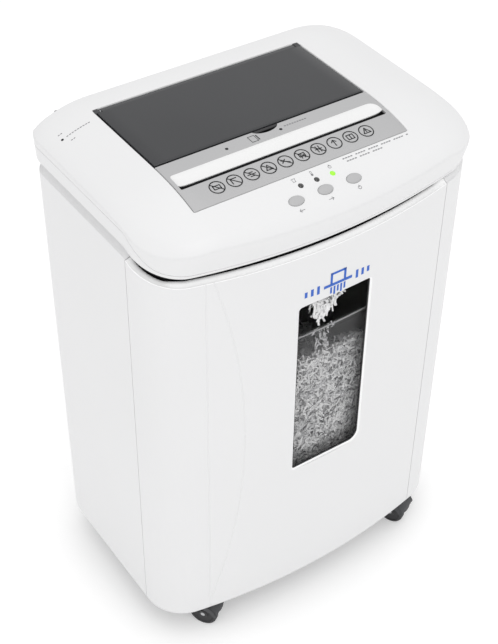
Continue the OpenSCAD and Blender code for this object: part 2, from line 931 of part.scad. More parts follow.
// Moves its children to caster k, with the wheels' axle along X
module at_caster(k) {
    translate(caster_places[k]) rotate(caster_turns[k]) children();
}

module caster_body(k) {
    color("#303234") at_caster(k) difference() {
        union() {
            rod(-2.6, 2.6, trail, wheel_r, 12);
            block(-2.6, 2.6, -4, trail + 6, wheel_r, 33);
            translate([0, 0, 32]) cylinder(h = 16, r = stem_r);
            intersection() {
                difference() {
                    rod(-14.5, 14.5, trail, wheel_r, 18.4);
                    rod(-13, -2.6, trail, wheel_r, 16.9);
                    rod(2.6, 13, trail, wheel_r, 16.9);
                }
                block(-20, 20, -30, 40, wheel_r + 5, 36);
            }
        }
        rod(-20, 20, trail, wheel_r, 2.5 + fit);
    }
}

module caster_wheels(k) {
    color("#222222") at_caster(k) {
        for (x = [-12.4, 3.4]) rod(x, x + 9, trail, wheel_r, wheel_r);
        rod(-12.4, 12.4, trail, wheel_r, 2.5);
    }
}

module caster_body_fl() {
    caster_body(0);
}

module caster_body_fr() {
    caster_body(1);
}

module caster_body_rl() {
    caster_body(2);
}

module caster_body_rr() {
    caster_body(3);
}

module caster_wheels_fl() {
    caster_wheels(0);
}

module caster_wheels_fr() {
    caster_wheels(1);
}

module caster_wheels_rl() {
    caster_wheels(2);
}

module caster_wheels_rr() {
    caster_wheels(3);
}

module unit_screws() {
    color("silver") for (x = [-160, 158], y = [-30, 75]) {
        translate([x, y, pan_z + skin]) cylinder(h = 2.5, r = 4);
    }
}

cabinet_shell();
base_plate();
head_brackets();
head_lower_shell();
head_top_cover();
silver_panel();
feed_trough();
paper_tray();
autofeed_cover();
cover_hinge_pins();
left_side_plate();
right_side_plate();
gear_plate();
tie_rods();
shaft_bushes();
gear_axles();
front_cutter();
rear_cutter();
front_stripper();
rear_stripper();
front_cutter_gear();
rear_cutter_gear();
output_gear();
second_gear();
first_gear();
motor_body();
motor_shaft();
motor_fan();
feed_roller();
feed_belt();
control_board();
tact_switches();
led_full();
led_overheat();
led_power();
button_reverse();
button_forward();
button_power();
power_board();
rocker_bezel();
power_rocker();
cord_gland();
interlock_switch();
interlock_tab();
drawer_front();
window_pane();
bin_tub();
shred_pile();
drawer_rails();
drawer_runners();
caster_sockets();
caster_body_fl();
caster_body_fr();
caster_body_rl();
caster_body_rr();
caster_wheels_fl();
caster_wheels_fr();
caster_wheels_rl();
caster_wheels_rr();
unit_screws();
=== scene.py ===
import math
import random

import bmesh
import bpy
import numpy as np
from mathutils import Matrix, Vector


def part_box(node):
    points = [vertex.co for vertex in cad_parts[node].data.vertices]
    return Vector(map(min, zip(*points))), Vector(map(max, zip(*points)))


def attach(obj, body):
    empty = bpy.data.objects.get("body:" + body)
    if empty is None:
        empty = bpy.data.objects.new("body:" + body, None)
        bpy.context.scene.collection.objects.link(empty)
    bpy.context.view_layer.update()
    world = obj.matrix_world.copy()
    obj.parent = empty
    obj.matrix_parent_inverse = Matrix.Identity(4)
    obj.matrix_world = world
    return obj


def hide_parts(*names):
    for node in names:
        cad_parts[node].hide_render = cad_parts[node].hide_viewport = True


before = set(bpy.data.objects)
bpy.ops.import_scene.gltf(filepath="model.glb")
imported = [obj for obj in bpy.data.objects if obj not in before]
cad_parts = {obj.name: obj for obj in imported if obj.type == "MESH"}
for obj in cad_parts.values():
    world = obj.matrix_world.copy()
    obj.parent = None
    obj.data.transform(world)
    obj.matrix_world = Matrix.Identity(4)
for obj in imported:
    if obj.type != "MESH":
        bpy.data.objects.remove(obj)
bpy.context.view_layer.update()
scene = bpy.context.scene
MM = 0.001  # sizes below are in millimetres, and mesh_object turns them into metres
rng = random.Random(7)


def corners(node):
    lo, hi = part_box(node)
    return np.array(lo) / MM, np.array(hi) / MM


# ---- sizes, from the CAD or fitted to the photo
cab_lo, cab_hi = corners("cabinet_shell")
front_lo, front_hi = corners("drawer_front")
top_lo, top_hi = corners("head_top_cover")
panel_lo, panel_hi = corners("silver_panel")
cover_lo, cover_hi = corners("autofeed_cover")
trough_lo, trough_hi = corners("feed_trough")
pane_lo, pane_hi = corners("window_pane")
tub_lo, tub_hi = corners("bin_tub")
pile_top = corners("shred_pile")[1][2]

BODY_HALF = cab_hi[0]
BODY_FRONT = front_lo[1]
BODY_REAR = cab_hi[1]
BODY_BOW = 743.0
BODY_CORNER = 46.0
BODY_REAR_R = 30.0
HEAD_BOW = 850.0
HEAD_CORNER, SKIRT_CORNER = 56.0, 46.0
HEAD_REAR_R = 32.0
FOOT_Z = cab_lo[2]
HEAD_HALF = top_hi[0]
HEAD_FRONT = top_lo[1]
HEAD_REAR = top_hi[1]
SEAM_LEFT_Y = front_hi[1] + 0.4
SEAM_RIGHT_X = front_hi[0] + 0.4
BEND_Y = SEAM_LEFT_Y + 4
RIM_SIDE, RIM_FRONT = 515.0, 493.0
SKIRT_SIDE, SKIRT_FRONT = 525.0, 502.0
PARTING_SIDE = 541.5
INSET_X = (panel_lo[0], panel_hi[0])
INSET_REAR = 90.0
COVER_LINE = panel_hi[1]
PANEL_FRONT = panel_lo[1]
FEED_X = (INSET_X[0] + INSET_X[1]) / 2
SLOT_Y = (-59.8, -54.8)
TOP_Z = 569.6
NECK_FOOT = 462.5
ROLL = 12.0  # width of the head's rounded rim
N_FRONT, N_CORNER, N_SIDE, N_REARC, N_REAR = 64, 22, 30, 16, 40  # points of each stretch of a plan


# ---- shape functions
def crown(y):
    """Height of the head's top along its middle line."""
    if y > 120:
        return crown(120) - 1.1 * (y - 120)
    if y > INSET_REAR:
        return TOP_Z - 0.0035 * (y - INSET_REAR) ** 2
    return TOP_Z - 0.0135 * (INSET_REAR - y) - 0.000512 * max(0.0, -20 - y) ** 2.3


def side_fall(x):
    return 0.0107 * max(0.0, abs(x) - 125) ** 1.8


def top_height(x, y):
    return crown(y) - side_fall(x)


def falling(side, front, y):
    """A line that is level along the sides and falls towards the front."""
    if y >= BEND_Y:
        return side
    return side - (side - front) / (BEND_Y - BODY_FRONT) * (BEND_Y - y)


def plan(hw, fy, bow, r, ry, rr):
    """Outline of the bowed plan, anticlockwise from the left front corner's end."""
    cy = fy + bow
    yc = cy - math.sqrt((bow - r) ** 2 - (hw - r) ** 2)
    turn = math.degrees(math.asin((hw - r) / (bow - r)))
    pts = []

    def arc(x, y, rad, a0, a1, n):
        for i in range(n):
            a = math.radians(a0 + (a1 - a0) * i / n)
            pts.append((x + rad * math.cos(a), y + rad * math.sin(a)))

    def line(x0, y0, x1, y1, n):
        for i in range(n):
            pts.append((x0 + (x1 - x0) * i / n, y0 + (y1 - y0) * i / n))

    arc(0, cy, bow, 270 - turn, 270 + turn, N_FRONT)
    arc(hw - r, yc, r, 270 + turn, 360, N_CORNER)
    line(hw, yc, hw, ry - rr, N_SIDE)
    arc(hw - rr, ry - rr, rr, 0, 90, N_REARC)
    line(hw - rr, ry, rr - hw, ry, N_REAR)
    arc(rr - hw, ry - rr, rr, 90, 180, N_REARC)
    line(-hw, ry - rr, -hw, yc, N_SIDE)
    arc(r - hw, yc, r, 180, 270 - turn, N_CORNER)
    return pts


def body_plan(d):
    return plan(BODY_HALF - d, BODY_FRONT + d, BODY_BOW - d, BODY_CORNER - d, BODY_REAR - d, BODY_REAR_R - d)


def head_plan(d):
    front = HEAD_FRONT + 0.5 + d
    return plan(HEAD_HALF - d, front, HEAD_BOW - d, HEAD_CORNER - d, HEAD_REAR - d, HEAD_REAR_R - d)


def skirt_plan(d):
    front = HEAD_FRONT + 11 + d
    half, rear = HEAD_HALF - 0.6 - d, HEAD_REAR - 2 - d
    return plan(half, front, HEAD_BOW - d, SKIRT_CORNER - d, rear, HEAD_REAR_R - d)


def front_face_y(x):
    """Y of the bowed front face at x."""
    return BODY_FRONT + BODY_BOW - math.sqrt(BODY_BOW ** 2 - x * x)


# ---- materials
def put(node, **values):
    """Sets inputs of a shader node; an underscore stands for the space in an input's name."""
    for key, value in values.items():
        node.inputs[key.replace("_", " ")].default_value = value


def principled(m):
    return m.node_tree.nodes["Principled BSDF"]


def new_material(name, base, rough, bump=0.05, grain=900.0, tone=0.02, metallic=0.0, coat=0.0, spec=0.5):
    """A plastic or metal: slow tone variation, fine grain in bump and roughness."""
    m = bpy.data.materials.new(name)
    m.use_nodes = True
    nodes, link = m.node_tree.nodes, m.node_tree.links.new
    b = principled(m)
    put(b, Metallic=metallic, Specular_IOR_Level=spec, Coat_Weight=coat)
    co = nodes.new("ShaderNodeTexCoord")
    fine = nodes.new("ShaderNodeTexNoise")
    put(fine, Scale=grain, Detail=3)
    slow = nodes.new("ShaderNodeTexNoise")
    put(slow, Scale=6, Detail=2)
    for t in (fine, slow):
        link(co.outputs["Object"], t.inputs["Vector"])
    ramp = nodes.new("ShaderNodeValToRGB")
    dark, pale = ramp.color_ramp.elements
    dark.position, pale.position = 0.3, 0.7
    dark.color = [c * (1 - tone) for c in base] + [1]
    pale.color = [min(1, c * (1 + tone)) for c in base] + [1]
    link(slow.outputs["Fac"], ramp.inputs["Fac"])
    link(ramp.outputs["Color"], b.inputs["Base Color"])
    rr = nodes.new("ShaderNodeMapRange")
    put(rr, To_Min=max(0.02, rough - 0.06), To_Max=min(1, rough + 0.06))
    link(fine.outputs["Fac"], rr.inputs["Value"])
    link(rr.outputs["Result"], b.inputs["Roughness"])
    bp = nodes.new("ShaderNodeBump")
    put(bp, Strength=bump, Distance=0.0003)
    link(fine.outputs["Fac"], bp.inputs["Height"])
    link(bp.outputs["Normal"], b.inputs["Normal"])
    return m


def brushed(name, base, rough):
    """A metal with streaks along X."""
    m = new_material(name, base, rough, 0.08, 300, 0.08, metallic=1.0)
    nodes, link = m.node_tree.nodes, m.node_tree.links.new
    co = [n for n in nodes if n.type == "TEX_COORD"][0]
    mp = nodes.new("ShaderNodeMapping")
    put(mp, Scale=(8, 900, 900))
    link(co.outputs["Object"], mp.inputs["Vector"])
    streak = nodes.new("ShaderNodeTexNoise")
    put(streak, Scale=1, Detail=4)
    link(mp.outputs["Vector"], streak.inputs["Vector"])
    for n in nodes:
        if n.type == "BUMP":
            link(streak.outputs["Fac"], n.inputs["Height"])
        if n.type == "MAP_RANGE":
            link(streak.outputs["Fac"], n.inputs["Value"])
    return m


def see_through(name, base, rough, alpha, spec):
    """A smoked or clear sheet that shows what is behind it."""
    m = new_material(name, base, rough, 0.01, 200, 0.1, spec=spec)
    put(principled(m), Alpha=alpha)
    return m


white = new_material("white_plastic", (0.77, 0.77, 0.775), 0.42, 0.10, 1400, 0.006)
# painted highlight: a lighter copy of the white plastic, for the drawer's upward-facing rim and the window's
# bevel
white_highlight_painted = new_material("white_highlight_painted", (0.96, 0.96, 0.96), 0.42, 0.08, 1400, 0.004)
white_gloss = new_material("white_trough", (0.81, 0.81, 0.81), 0.35, 0.03, 900, 0.006)
guide_grey = new_material("guide_plastic", (0.15, 0.15, 0.155), 0.5, 0.08, 1000, 0.05)
# painted light: the neck is the same white plastic, made lighter to cancel the shade under the head's
# overhang
neck_light_painted = new_material("neck_white_light_painted", (0.9, 0.9, 0.9), 0.5, 0.08, 1200, 0.01)
black = new_material("black_plastic", (0.018, 0.018, 0.02), 0.45, 0.10, 1100, 0.15)
charcoal = new_material("charcoal_plastic", (0.045, 0.046, 0.05), 0.5, 0.12, 1000, 0.1)
silver = new_material("silver_paint", (0.45, 0.45, 0.455), 0.4, 0.06, 2200, 0.02, metallic=0.12)
grey_key = new_material("grey_keys", (0.45, 0.45, 0.455), 0.4, 0.05, 1200, 0.02)
ink = new_material("printed_ink", (0.008, 0.008, 0.01), 0.7, 0.03, 900, 0.1)
ink_grey = new_material("printed_grey", (0.2, 0.2, 0.21), 0.6, 0.03, 900, 0.1)
ink_blue = new_material("printed_blue", (0.02, 0.12, 0.55), 0.5, 0.03, 900, 0.06)
steel = brushed("zinc_steel", (0.56, 0.57, 0.58), 0.35)
cutter_steel = brushed("cutter_steel", (0.3, 0.3, 0.32), 0.3)
bronze = new_material("bronze", (0.5, 0.33, 0.14), 0.4, 0.12, 700, 0.15, metallic=1.0)
nylon = new_material("nylon", (0.72, 0.70, 0.62), 0.45, 0.06, 800, 0.03)
lacquer = new_material("motor_lacquer", (0.06, 0.06, 0.065), 0.4, 0.15, 500, 0.15, metallic=0.3)
rubber = new_material("black_rubber", (0.02, 0.02, 0.02), 0.75, 0.3, 700, 0.2)
board = new_material("circuit_board", (0.01, 0.12, 0.05), 0.4, 0.2, 260, 0.3)
tread = new_material("wheel_tread", (0.03, 0.03, 0.032), 0.6, 0.2, 900, 0.2)
# paper tones: white; a shaded copy as painted shade; a dark grey that is partly printed paper and partly
# painted shade between the strips
papers = [new_material("shred_white", (0.97, 0.97, 0.97), 0.8, 0.15, 500, 0.02),
          new_material("shred_shaded", (0.68, 0.68, 0.69), 0.8, 0.15, 500, 0.04),
          new_material("shred_print_and_shade", (0.24, 0.24, 0.245), 0.8, 0.15, 500, 0.3)]
smoke = see_through("smoked_cover", (0.03, 0.031, 0.034), 0.22, 0.95, 0.55)
tub_smoke = see_through("smoked_tub", (0.42, 0.42, 0.43), 0.3, 0.09, 0.1)
# painted highlight: a light grey for the smoked tub's upward-facing rim top
tub_rim_highlight = new_material("tub_rim_highlight", (0.5, 0.5, 0.51), 0.35, 0.02, 300, 0.03)
pane_clear = see_through("clear_pane", (0.05, 0.05, 0.05), 0.08, 0.03, 0.1)
lens_dark = new_material("lens_dark", (0.03, 0.03, 0.03), 0.15, 0.02, 300, 0.2, coat=0.5)
lens_green = new_material("lens_green", (0.22, 0.75, 0.03), 0.2, 0.02, 300, 0.05)
put(principled(lens_green), Emission_Color=(0.35, 0.95, 0.03, 1), Emission_Strength=0.55)


# ---- mesh helpers
def mesh_object(name, verts, faces, mats, face_mats=None, smooth=40):
    me = bpy.data.meshes.new(name)
    me.from_pydata([tuple(c * MM for c in v) for v in verts], [], faces)
    me.validate()
    bm = bmesh.new()
    bm.from_mesh(me)
    bmesh.ops.recalc_face_normals(bm, faces=bm.faces)
    bm.to_mesh(me)
    bm.free()
    for m in mats if isinstance(mats, (list, tuple)) else [mats]:
        me.materials.append(m)
    if face_mats is not None:
        for p, k in zip(me.polygons, face_mats):
            p.material_index = k
    o = bpy.data.objects.new(name, me)
    scene.collection.objects.link(o)
    shade(o, smooth)
    return o


def shade(o, angle=40):
    me = o.data
    for p in me.polygons:
        p.use_smooth = True
    me.update()
    bm = bmesh.new()
    bm.from_mesh(me)
    limit = math.radians(angle)
    for e in bm.edges:
        if len(e.link_faces) == 2:
            e.smooth = e.calc_face_angle(0) < limit
        else:
            e.smooth = False
    bm.to_mesh(me)
    bm.free()


def loft(name, rings, mats, caps=False, loop=False, smooth=40):
    """Quads between closed rings of equal length; loop joins the last ring to the first."""
    n = len(rings[0])
    verts = [p for r in rings for p in r]
    faces = []
    count = len(rings)
    for k in range(count if loop else count - 1):
        a, b = k * n, ((k + 1) % count) * n
        for i in range(n):
            j = (i + 1) % n
            faces.append((a + i, a + j, b + j, b + i))
    if caps:
        faces += [tuple(range(n))[::-1], tuple((count - 1) * n + i for i in range(n))]
    return mesh_object(name, verts, faces, mats, smooth=smooth)


def apply_modifiers(o):
    bpy.context.view_layer.update()
    dg = bpy.context.evaluated_depsgraph_get()
    me = bpy.data.meshes.new_from_object(o.evaluated_get(dg), depsgraph=dg)
    o.modifiers.clear()
    old = o.data
    o.data = me
    bpy.data.meshes.remove(old)
    return o


def cut(o, tools, smooth=35):
    """Takes the tools away from o and deletes them."""
    for t in tools:
        md = o.modifiers.new("cut", "BOOLEAN")
        md.operation = "DIFFERENCE"
        md.solver = "EXACT"
        md.object = t
    apply_modifiers(o)
    for t in tools:
        bpy.data.objects.remove(t)
    shade(o, smooth)
    return o


def bevel(o, width, segments=2):
    md = o.modifiers.new("bevel", "BEVEL")
    md.width = width * MM
    md.segments = segments
    md.limit_method = "ANGLE"
    md.angle_limit = math.radians(35)
    md.harden_normals = False
    apply_modifiers(o)
    shade(o)


def prism(name, points, z0, z1, mats, place=None, smooth=30):
    """A straight prism over an outline, moved by a matrix in millimetres."""
    n = len(points)
    verts = [Vector((x, y, z0)) for x, y in points] + [Vector((x, y, z1)) for x, y in points]
    if place is not None:
        verts = [place @ v for v in verts]
    faces = [tuple(range(n))[::-1], tuple(range(n, 2 * n))]
    faces += [(i, (i + 1) % n, n + (i + 1) % n, n + i) for i in range(n)]
    return mesh_object(name, verts, faces, mats, smooth=smooth)


def block(name, x0, x1, y0, y1, z0, z1, mats, place=None, edge=0.0, segments=2):
    o = prism(name, [(x0, y0), (x1, y0), (x1, y1), (x0, y1)], z0, z1, mats, place)
    if edge:
        bevel(o, edge, segments)
    return o


def whole_turn(n):
    return [2 * math.pi * i / n for i in range(n)]


def ellipse(length, width, n=48):
    return [(length / 2 * math.cos(a), width / 2 * math.sin(a)) for a in whole_turn(n)]


def circle(r, n=32):
    return ellipse(2 * r, 2 * r, n)


def arc_points(r, start, stop, step):
    angles = [math.radians(a) for a in range(start, stop, step)]
    return [(r * math.cos(a), r * math.sin(a)) for a in angles]


def placed(x, y, z, degrees=0.0, axis="X"):
    """A place for a prism or lathe: at a point, turned about one axis there."""
    return Matrix.Translation((x, y, z)) @ Matrix.Rotation(math.radians(degrees), 4, axis)


def rounded_rect(x0, x1, y0, y1, radii, n=6):
    """radii: lower left, lower right, upper right, upper left."""
    pts = []
    turns = ((x0, y0, 1, 1, 180), (x1, y0, -1, 1, 270), (x1, y1, -1, -1, 0), (x0, y1, 1, -1, 90))
    for (cx, cy, sx, sy, a0), r in zip(turns, radii):
        for i in range(n + 1):
            a = math.radians(a0 + 90 * i / n)
            pts.append((cx + sx * r + r * math.cos(a), cy + sy * r + r * math.sin(a)))
    return pts


def join(name, parts):
    """One object from several, keeping their materials."""
    base = parts[0]
    mats = []
    bm = bmesh.new()
    for o in parts:
        remap = []
        for m in o.data.materials:
            if m not in mats:
                mats.append(m)
            remap.append(mats.index(m))
        before = len(bm.faces)
        bm.from_mesh(o.data)
        bm.faces.ensure_lookup_table()
        for f in bm.faces[before:]:
            f.material_index = remap[f.material_index] if remap else 0
    me = bpy.data.meshes.new(name)
    bm.to_mesh(me)
    bm.free()
    for m in mats:
        me.materials.append(m)
    for o in parts[1:]:
        bpy.data.objects.remove(o)
    old = base.data
    base.data = me
    bpy.data.meshes.remove(old)
    base.name = name
    return base


def lathe(name, profile, mats, place, n):
    """A profile of (radius, height) turned about Z, closed on itself, then placed."""
    verts, faces = [], []
    k = len(profile)
    for a in whole_turn(n):
        for r, z in profile:
            verts.append(place @ Vector((r * math.cos(a), r * math.sin(a), z)))
    for i in range(n):
        j = (i + 1) % n
        for q in range(k):
            w = (q + 1) % k
            faces.append((i * k + q, j * k + q, j * k + w, i * k + w))
    o = mesh_object(name, verts, faces, mats)
    bm = bmesh.new()
    bm.from_mesh(o.data)
    bmesh.ops.remove_doubles(bm, verts=bm.verts, dist=1e-6)
    bmesh.ops.recalc_face_normals(bm, faces=bm.faces)
    bm.to_mesh(o.data)
    bm.free()
    shade(o, 35)
    return o


def tube(name, points, r, mats, n=8):
    """A closed tube along points, in millimetres."""
    rings = []
    for i, p in enumerate(points):
        a = Vector(points[max(0, i - 1)])
        b = Vector(points[min(len(points) - 1, i + 1)])
        t = (b - a).normalized()
        u = t.cross(Vector((0, 0, 1)))
        if u.length < 0.01:
            u = t.cross(Vector((0, 1, 0)))
        u.normalize()
        v = t.cross(u)
        rings.append([Vector(p) + r * (math.cos(a) * u + math.sin(a) * v) for a in whole_turn(n)])
    return loft(name, rings, mats, caps=True)


def finish_piece(o, body, slot, *nodes):
    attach(o, body)
    if nodes:
        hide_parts(*nodes)
    return o


def ring_at(outline, level):
    """An outline's points, each at the height level(i)."""
    return [(x, y, level(i)) for i, (x, y) in enumerate(outline)]


def smoothstep(t):
    t = min(1.0, max(0.0, t))
    return t * t * (3 - 2 * t)


# ---- cabinet and drawer front
def wall_profile(y, is_drawer):
    """(inset, height) points of the wall's section where it stands at y: its top edge rises inwards."""
    zt = falling(RIM_SIDE, RIM_FRONT, y)
    b = smoothstep((BEND_Y - 6 - y) / 20)
    deep = 7.0 if is_drawer else 11.5 - 4.5 * b
    h = min(515.3 - zt, 1.2 + 2.4 * smoothstep((-98 - y) / 10))
    if not is_drawer:
        h = h * b + 6.0 * (1 - b)
    out = [(4.5, FOOT_Z), (2.2, FOOT_Z + 0.2), (0.9, FOOT_Z + 1.0), (0.2, FOOT_Z + 2.6), (0, FOOT_Z + 5)]
    out += [(0, FOOT_Z + 5 + (zt - FOOT_Z - 6.5) * k / 12) for k in range(1, 13)]
    shoulder = 0.45
    out += [(0.12, zt - 0.9), (shoulder, zt - 0.3)]
    for k in range(1, 7):
        t = k / 6
        wave = t - 0.12 * math.sin(2 * math.pi * t)
        out.append((shoulder + (deep - shoulder - 0.8) * t, zt - 0.3 + (h + 0.3) * wave))
    out += [(deep - 0.2, zt + h - 0.25), (deep, zt + h - 0.9), (deep, zt - 3.0 + h * 0.3), (3, zt - 5.5),
            (3, FOOT_Z + 1)]
    return out


def wall_strip(name, stations, is_drawer, mats):
    """The wall along outline stations, closed all round, with capped ends."""
    depths = {}

    def inset_point(idx, t, d):
        if d not in depths:
            depths[d] = body_plan(d)
        p = depths[d]
        a, b = p[idx % len(p)], p[(idx + 1) % len(p)]
        return a[0] + (b[0] - a[0]) * t, a[1] + (b[1] - a[1]) * t

    rings = []
    for idx, t in stations:
        y = inset_point(idx, t, 0.0)[1]
        ring = []
        for d, z in wall_profile(y, is_drawer):
            px, py = inset_point(idx, t, round(d, 2))
            ring.append((px, py, z))
        rings.append(ring)
    return loft(name, rings, mats, caps=True, smooth=32)


outline = body_plan(0.0)
TOTAL = len(outline)


def crossing(test):
    """The station where the outline first passes a test, going round from its start."""
    for i in range(TOTAL):
        a, b = outline[i], outline[(i + 1) % TOTAL]
        fa, fb = test(a), test(b)
        if fa < 0 <= fb:
            return i, -fa / (fb - fa)
    raise ValueError("the outline is never crossed")


def stations(start, end):
    i, t = start
    j, u = end
    if j < i:
        j += TOTAL
    return [(i, t)] + [(k, 0.0) for k in range(i + 1, j + 1) if (k, 0.0) != (i, t)] + [(j, u)]


GAP = 0.35  # half the seam between cabinet and drawer


def right_seam(x):
    return crossing(lambda p: p[0] - x if p[1] < -60 else -1)


def left_seam(y):
    return crossing(lambda p: y - p[1] if p[0] < -150 else -1)


cabinet_run = stations(right_seam(SEAM_RIGHT_X + GAP), left_seam(SEAM_LEFT_Y + GAP))
drawer_run = stations(left_seam(SEAM_LEFT_Y - GAP), right_seam(SEAM_RIGHT_X - GAP))
cabinet = wall_strip("cabinet_body", cabinet_run, False, white)
drawer = wall_strip("drawer_panel", drawer_run, True, [white, white_highlight_painted])
# painted highlight: the rim's upward-facing faces take the lighter white
for p in drawer.data.polygons:
    c = p.center / MM
    if p.normal.z > 0.2 and c.z > falling(RIM_SIDE, RIM_FRONT, c.y) - 1:
        p.material_index = 1

# the window's opening
win_x = (pane_lo[0], pane_hi[0])
win_z = (pane_lo[2], pane_hi[2])
WIN_RADII = (2.0, 11.0, 2.0, 4.0)


def window_outline(grow):
    """The opening's outline in X and Z, grown all round."""
    x0, x1, z0, z1 = win_x[0] - grow, win_x[1] + grow, win_z[0] - grow, win_z[1] + grow
    return rounded_rect(x0, x1, z0, z1, [r + grow for r in WIN_RADII], n=8)


# the styling lines: a straight one near the left corner and an arc that bulges beside it
ARC_R, ARC_BULGE_X, ARC_Z = 720.0, -98.0, 285.4
STRAIGHT_X = -137.4
LINE_TOP, ARC_FOOT = 497.0, 53.0
GROOVE_R, GROOVE_OUT = 1.6, 1.1  # radius of the groove's cutter, and how far its middle is off the face
arc_line = []
for i in range(61):
    z = LINE_TOP - (LINE_TOP - ARC_FOOT) * i / 60
    x = ARC_BULGE_X - ARC_R + math.sqrt(ARC_R ** 2 - (z - ARC_Z) ** 2)
    arc_line.append((x, front_face_y(x) - GROOVE_OUT, z))
straight_y = front_face_y(STRAIGHT_X) - GROOVE_OUT
straight_line = [(STRAIGHT_X, straight_y, z) for z in np.linspace(FOOT_Z - 2, LINE_TOP, 40)]
tools = [prism("tool", window_outline(2.0), 100, 140, white, placed(0, 0, 0, 90))]
tools += [tube("tool", line, GROOVE_R, white, 14) for line in (arc_line, straight_line)]
cut(drawer, tools)

finish_piece(cabinet, "cabinet", "white_shell", "cabinet_shell")
finish_piece(drawer, "drawer", "white_shell", "drawer_front")

# the window's frame: a white bevelled lip that stands in the opening; its bevel is painted as a highlight in
# the lighter white
lip_rings = []
for grow, deep in ((2.3, -0.05), (1.9, 0.15), (0.2, 1.4), (-0.3, 1.7), (-0.9, 2.0), (-0.9, 3.2), (2.3, 3.2)):
    lip_rings.append([(x, front_face_y(x) + deep, z) for x, z in window_outline(grow)])
lip = loft("window_lip", lip_rings, [white_highlight_painted, black], loop=True, smooth=50)
for i in range(2 * len(lip_rings[0]), 5 * len(lip_rings[0])):  # its inner edge is black
    lip.data.polygons[i].material_index = 1
finish_piece(lip, "drawer", "white_shell")

# the pane
rings = []
for x in np.linspace(win_x[0] + 0.95, win_x[1] - 0.95, 25):
    z0, z1 = win_z[0] + 0.95, win_z[1] - 0.95
    rings.append([(x, front_face_y(x) + deep, z) for deep, z in ((2.1, z0), (2.1, z1), (2.9, z1), (2.9, z0))])
pane = loft("window_glazing", rings, pane_clear, caps=True)
finish_piece(pane, "drawer", "clear_plastic", "window_pane")


# ---- head
HOLE = (INSET_X[0] - 0.4, INSET_X[1] + 0.4, PANEL_FRONT - 0.4, INSET_REAR + 0.4)


def hole_points(grow):
    """The inset's opening, with one point for each point of the head's outline."""
    x0, x1, y0, y1 = HOLE[0] - grow, HOLE[1] + grow, HOLE[2] - grow, HOLE[3] + grow
    r = 1.2 + grow
    # outline stations of the four corners' middles
    fr = N_FRONT + N_CORNER * 0.45
    rr = N_FRONT + N_CORNER + N_SIDE + N_REARC * 0.5
    rl = rr + N_REARC + N_REAR
    fl = TOTAL - N_CORNER * 0.45
    sides = [(fl - TOTAL, fr, (x0, y0), (x1, y0)), (fr, rr, (x1, y0), (x1, y1)),
             (rr, rl, (x1, y1), (x0, y1)), (rl, fl, (x0, y1), (x0, y0))]
    pts = []
    for i in range(TOTAL):
        for a, b, p, q in sides:
            k = i - TOTAL if a < 0 and i >= fl else i
            if a <= k < b:
                t = (k - a) / (b - a)
                x = p[0] + (q[0] - p[0]) * t
                y = p[1] + (q[1] - p[1]) * t
                # round the corners a little
                cx = min(max(x, x0 + r), x1 - r)
                cy = min(max(y, y0 + r), y1 - r)
                if abs(x - cx) > 1e-9 and abs(y - cy) > 1e-9:
                    d = math.hypot(x - cx, y - cy)
                    x, y = cx + (x - cx) * r / d, cy + (y - cy) * r / d
                pts.append((x, y))
                break
    return pts


PLAN_A = head_plan(0.15)
PLAN_B = skirt_plan(0.0)
INSET_A = head_plan(0.85)
INSET_B = skirt_plan(0.7)
PLAN_R = head_plan(ROLL)
hole0 = hole_points(0.0)
hole1 = hole_points(0.7)


def roll_drop(y):
    """How far the rounded rim falls below the top surface: more along the front."""
    return 2.5 + 3.1 * smoothstep((BEND_Y - y) / 40)


def wall_top(i):
    x, y = PLAN_A[i]
    return top_height(x, y) - roll_drop(y)


def wall_bottom(i):
    return falling(SKIRT_SIDE, SKIRT_FRONT, PLAN_B[i][1])


def parting_at(i):
    y = PLAN_B[i][1]
    extra = PARTING_SIDE - SKIRT_SIDE - 4.5
    return wall_bottom(i) + 4.5 + extra * (1 - smoothstep((BEND_Y - y) / 40))


def wall_ring(level, inset=False):
    """level(i) gives the height on the wall; the ring lies on the tapered wall there, or 0.7 mm inside it."""
    upper, lower = (INSET_A, INSET_B) if inset else (PLAN_A, PLAN_B)
    ring = []
    for i in range(TOTAL):
        z = level(i)
        f = min(1, max(0, (wall_top(i) - z) / (wall_top(i) - wall_bottom(i)))) ** 1.25
        a, b = upper[i], lower[i]
        ring.append((a[0] + (b[0] - a[0]) * f, a[1] + (b[1] - a[1]) * f, z))
    return ring


def wall_rings(upper, lower):
    """Five rings evenly below the level upper(i), the last one at lower(i)."""
    return [wall_ring(lambda i, k=k: upper(i) + (lower(i) - upper(i)) * k / 5) for k in range(1, 6)]


def top_ring(inner, outer, t, drop):
    """A ring on the top surface, t of the way between two outlines, and drop(outer Y) below it."""
    ring = []
    for (x, y), (u, v) in zip(inner, outer):
        px, py = x + (u - x) * t, y + (v - y) * t
        ring.append((px, py, top_height(px, py) - drop(v)))
    return ring


rings = [[(x, y, top_height(x, y) - 3.0) for x, y in hole0],
         [(x, y, top_height(x, y) - 0.7) for x, y in hole0],
         [(x * 0.35 + u * 0.65, y * 0.35 + v * 0.65, top_height(x, y) - 0.2)
          for (x, y), (u, v) in zip(hole0, hole1)],
         [(x, y, top_height(x, y)) for x, y in hole1]]
rings += [top_ring(hole1, PLAN_R, k / 30, lambda v: 0) for k in range(1, 31)]
rings += [top_ring(PLAN_R, PLAN_A, k / 8, lambda v, t=k / 8: roll_drop(v) * t * t) for k in range(1, 9)]
rings += wall_rings(wall_top, lambda i: parting_at(i) + 0.35)
rings.append(wall_ring(lambda i: parting_at(i) + 0.2, True))
lid = loft("head_top", rings, white, smooth=60)
solid = lid.modifiers.new("thick", "SOLIDIFY")
solid.thickness = 2.4 * MM
solid.offset = -1
apply_modifiers(lid)

BUTTON_Y = -113.6
BUTTON_XS = (-40.5, -8.3, 23.9)
LED_Y = -102.0
LED_XS = (-27.5, -9.7, 8.2)
LIP_TILT = 24  # slope of the head's front lip, in degrees


def on_lip(x, y):
    return placed(x, y, crown(y), LIP_TILT)


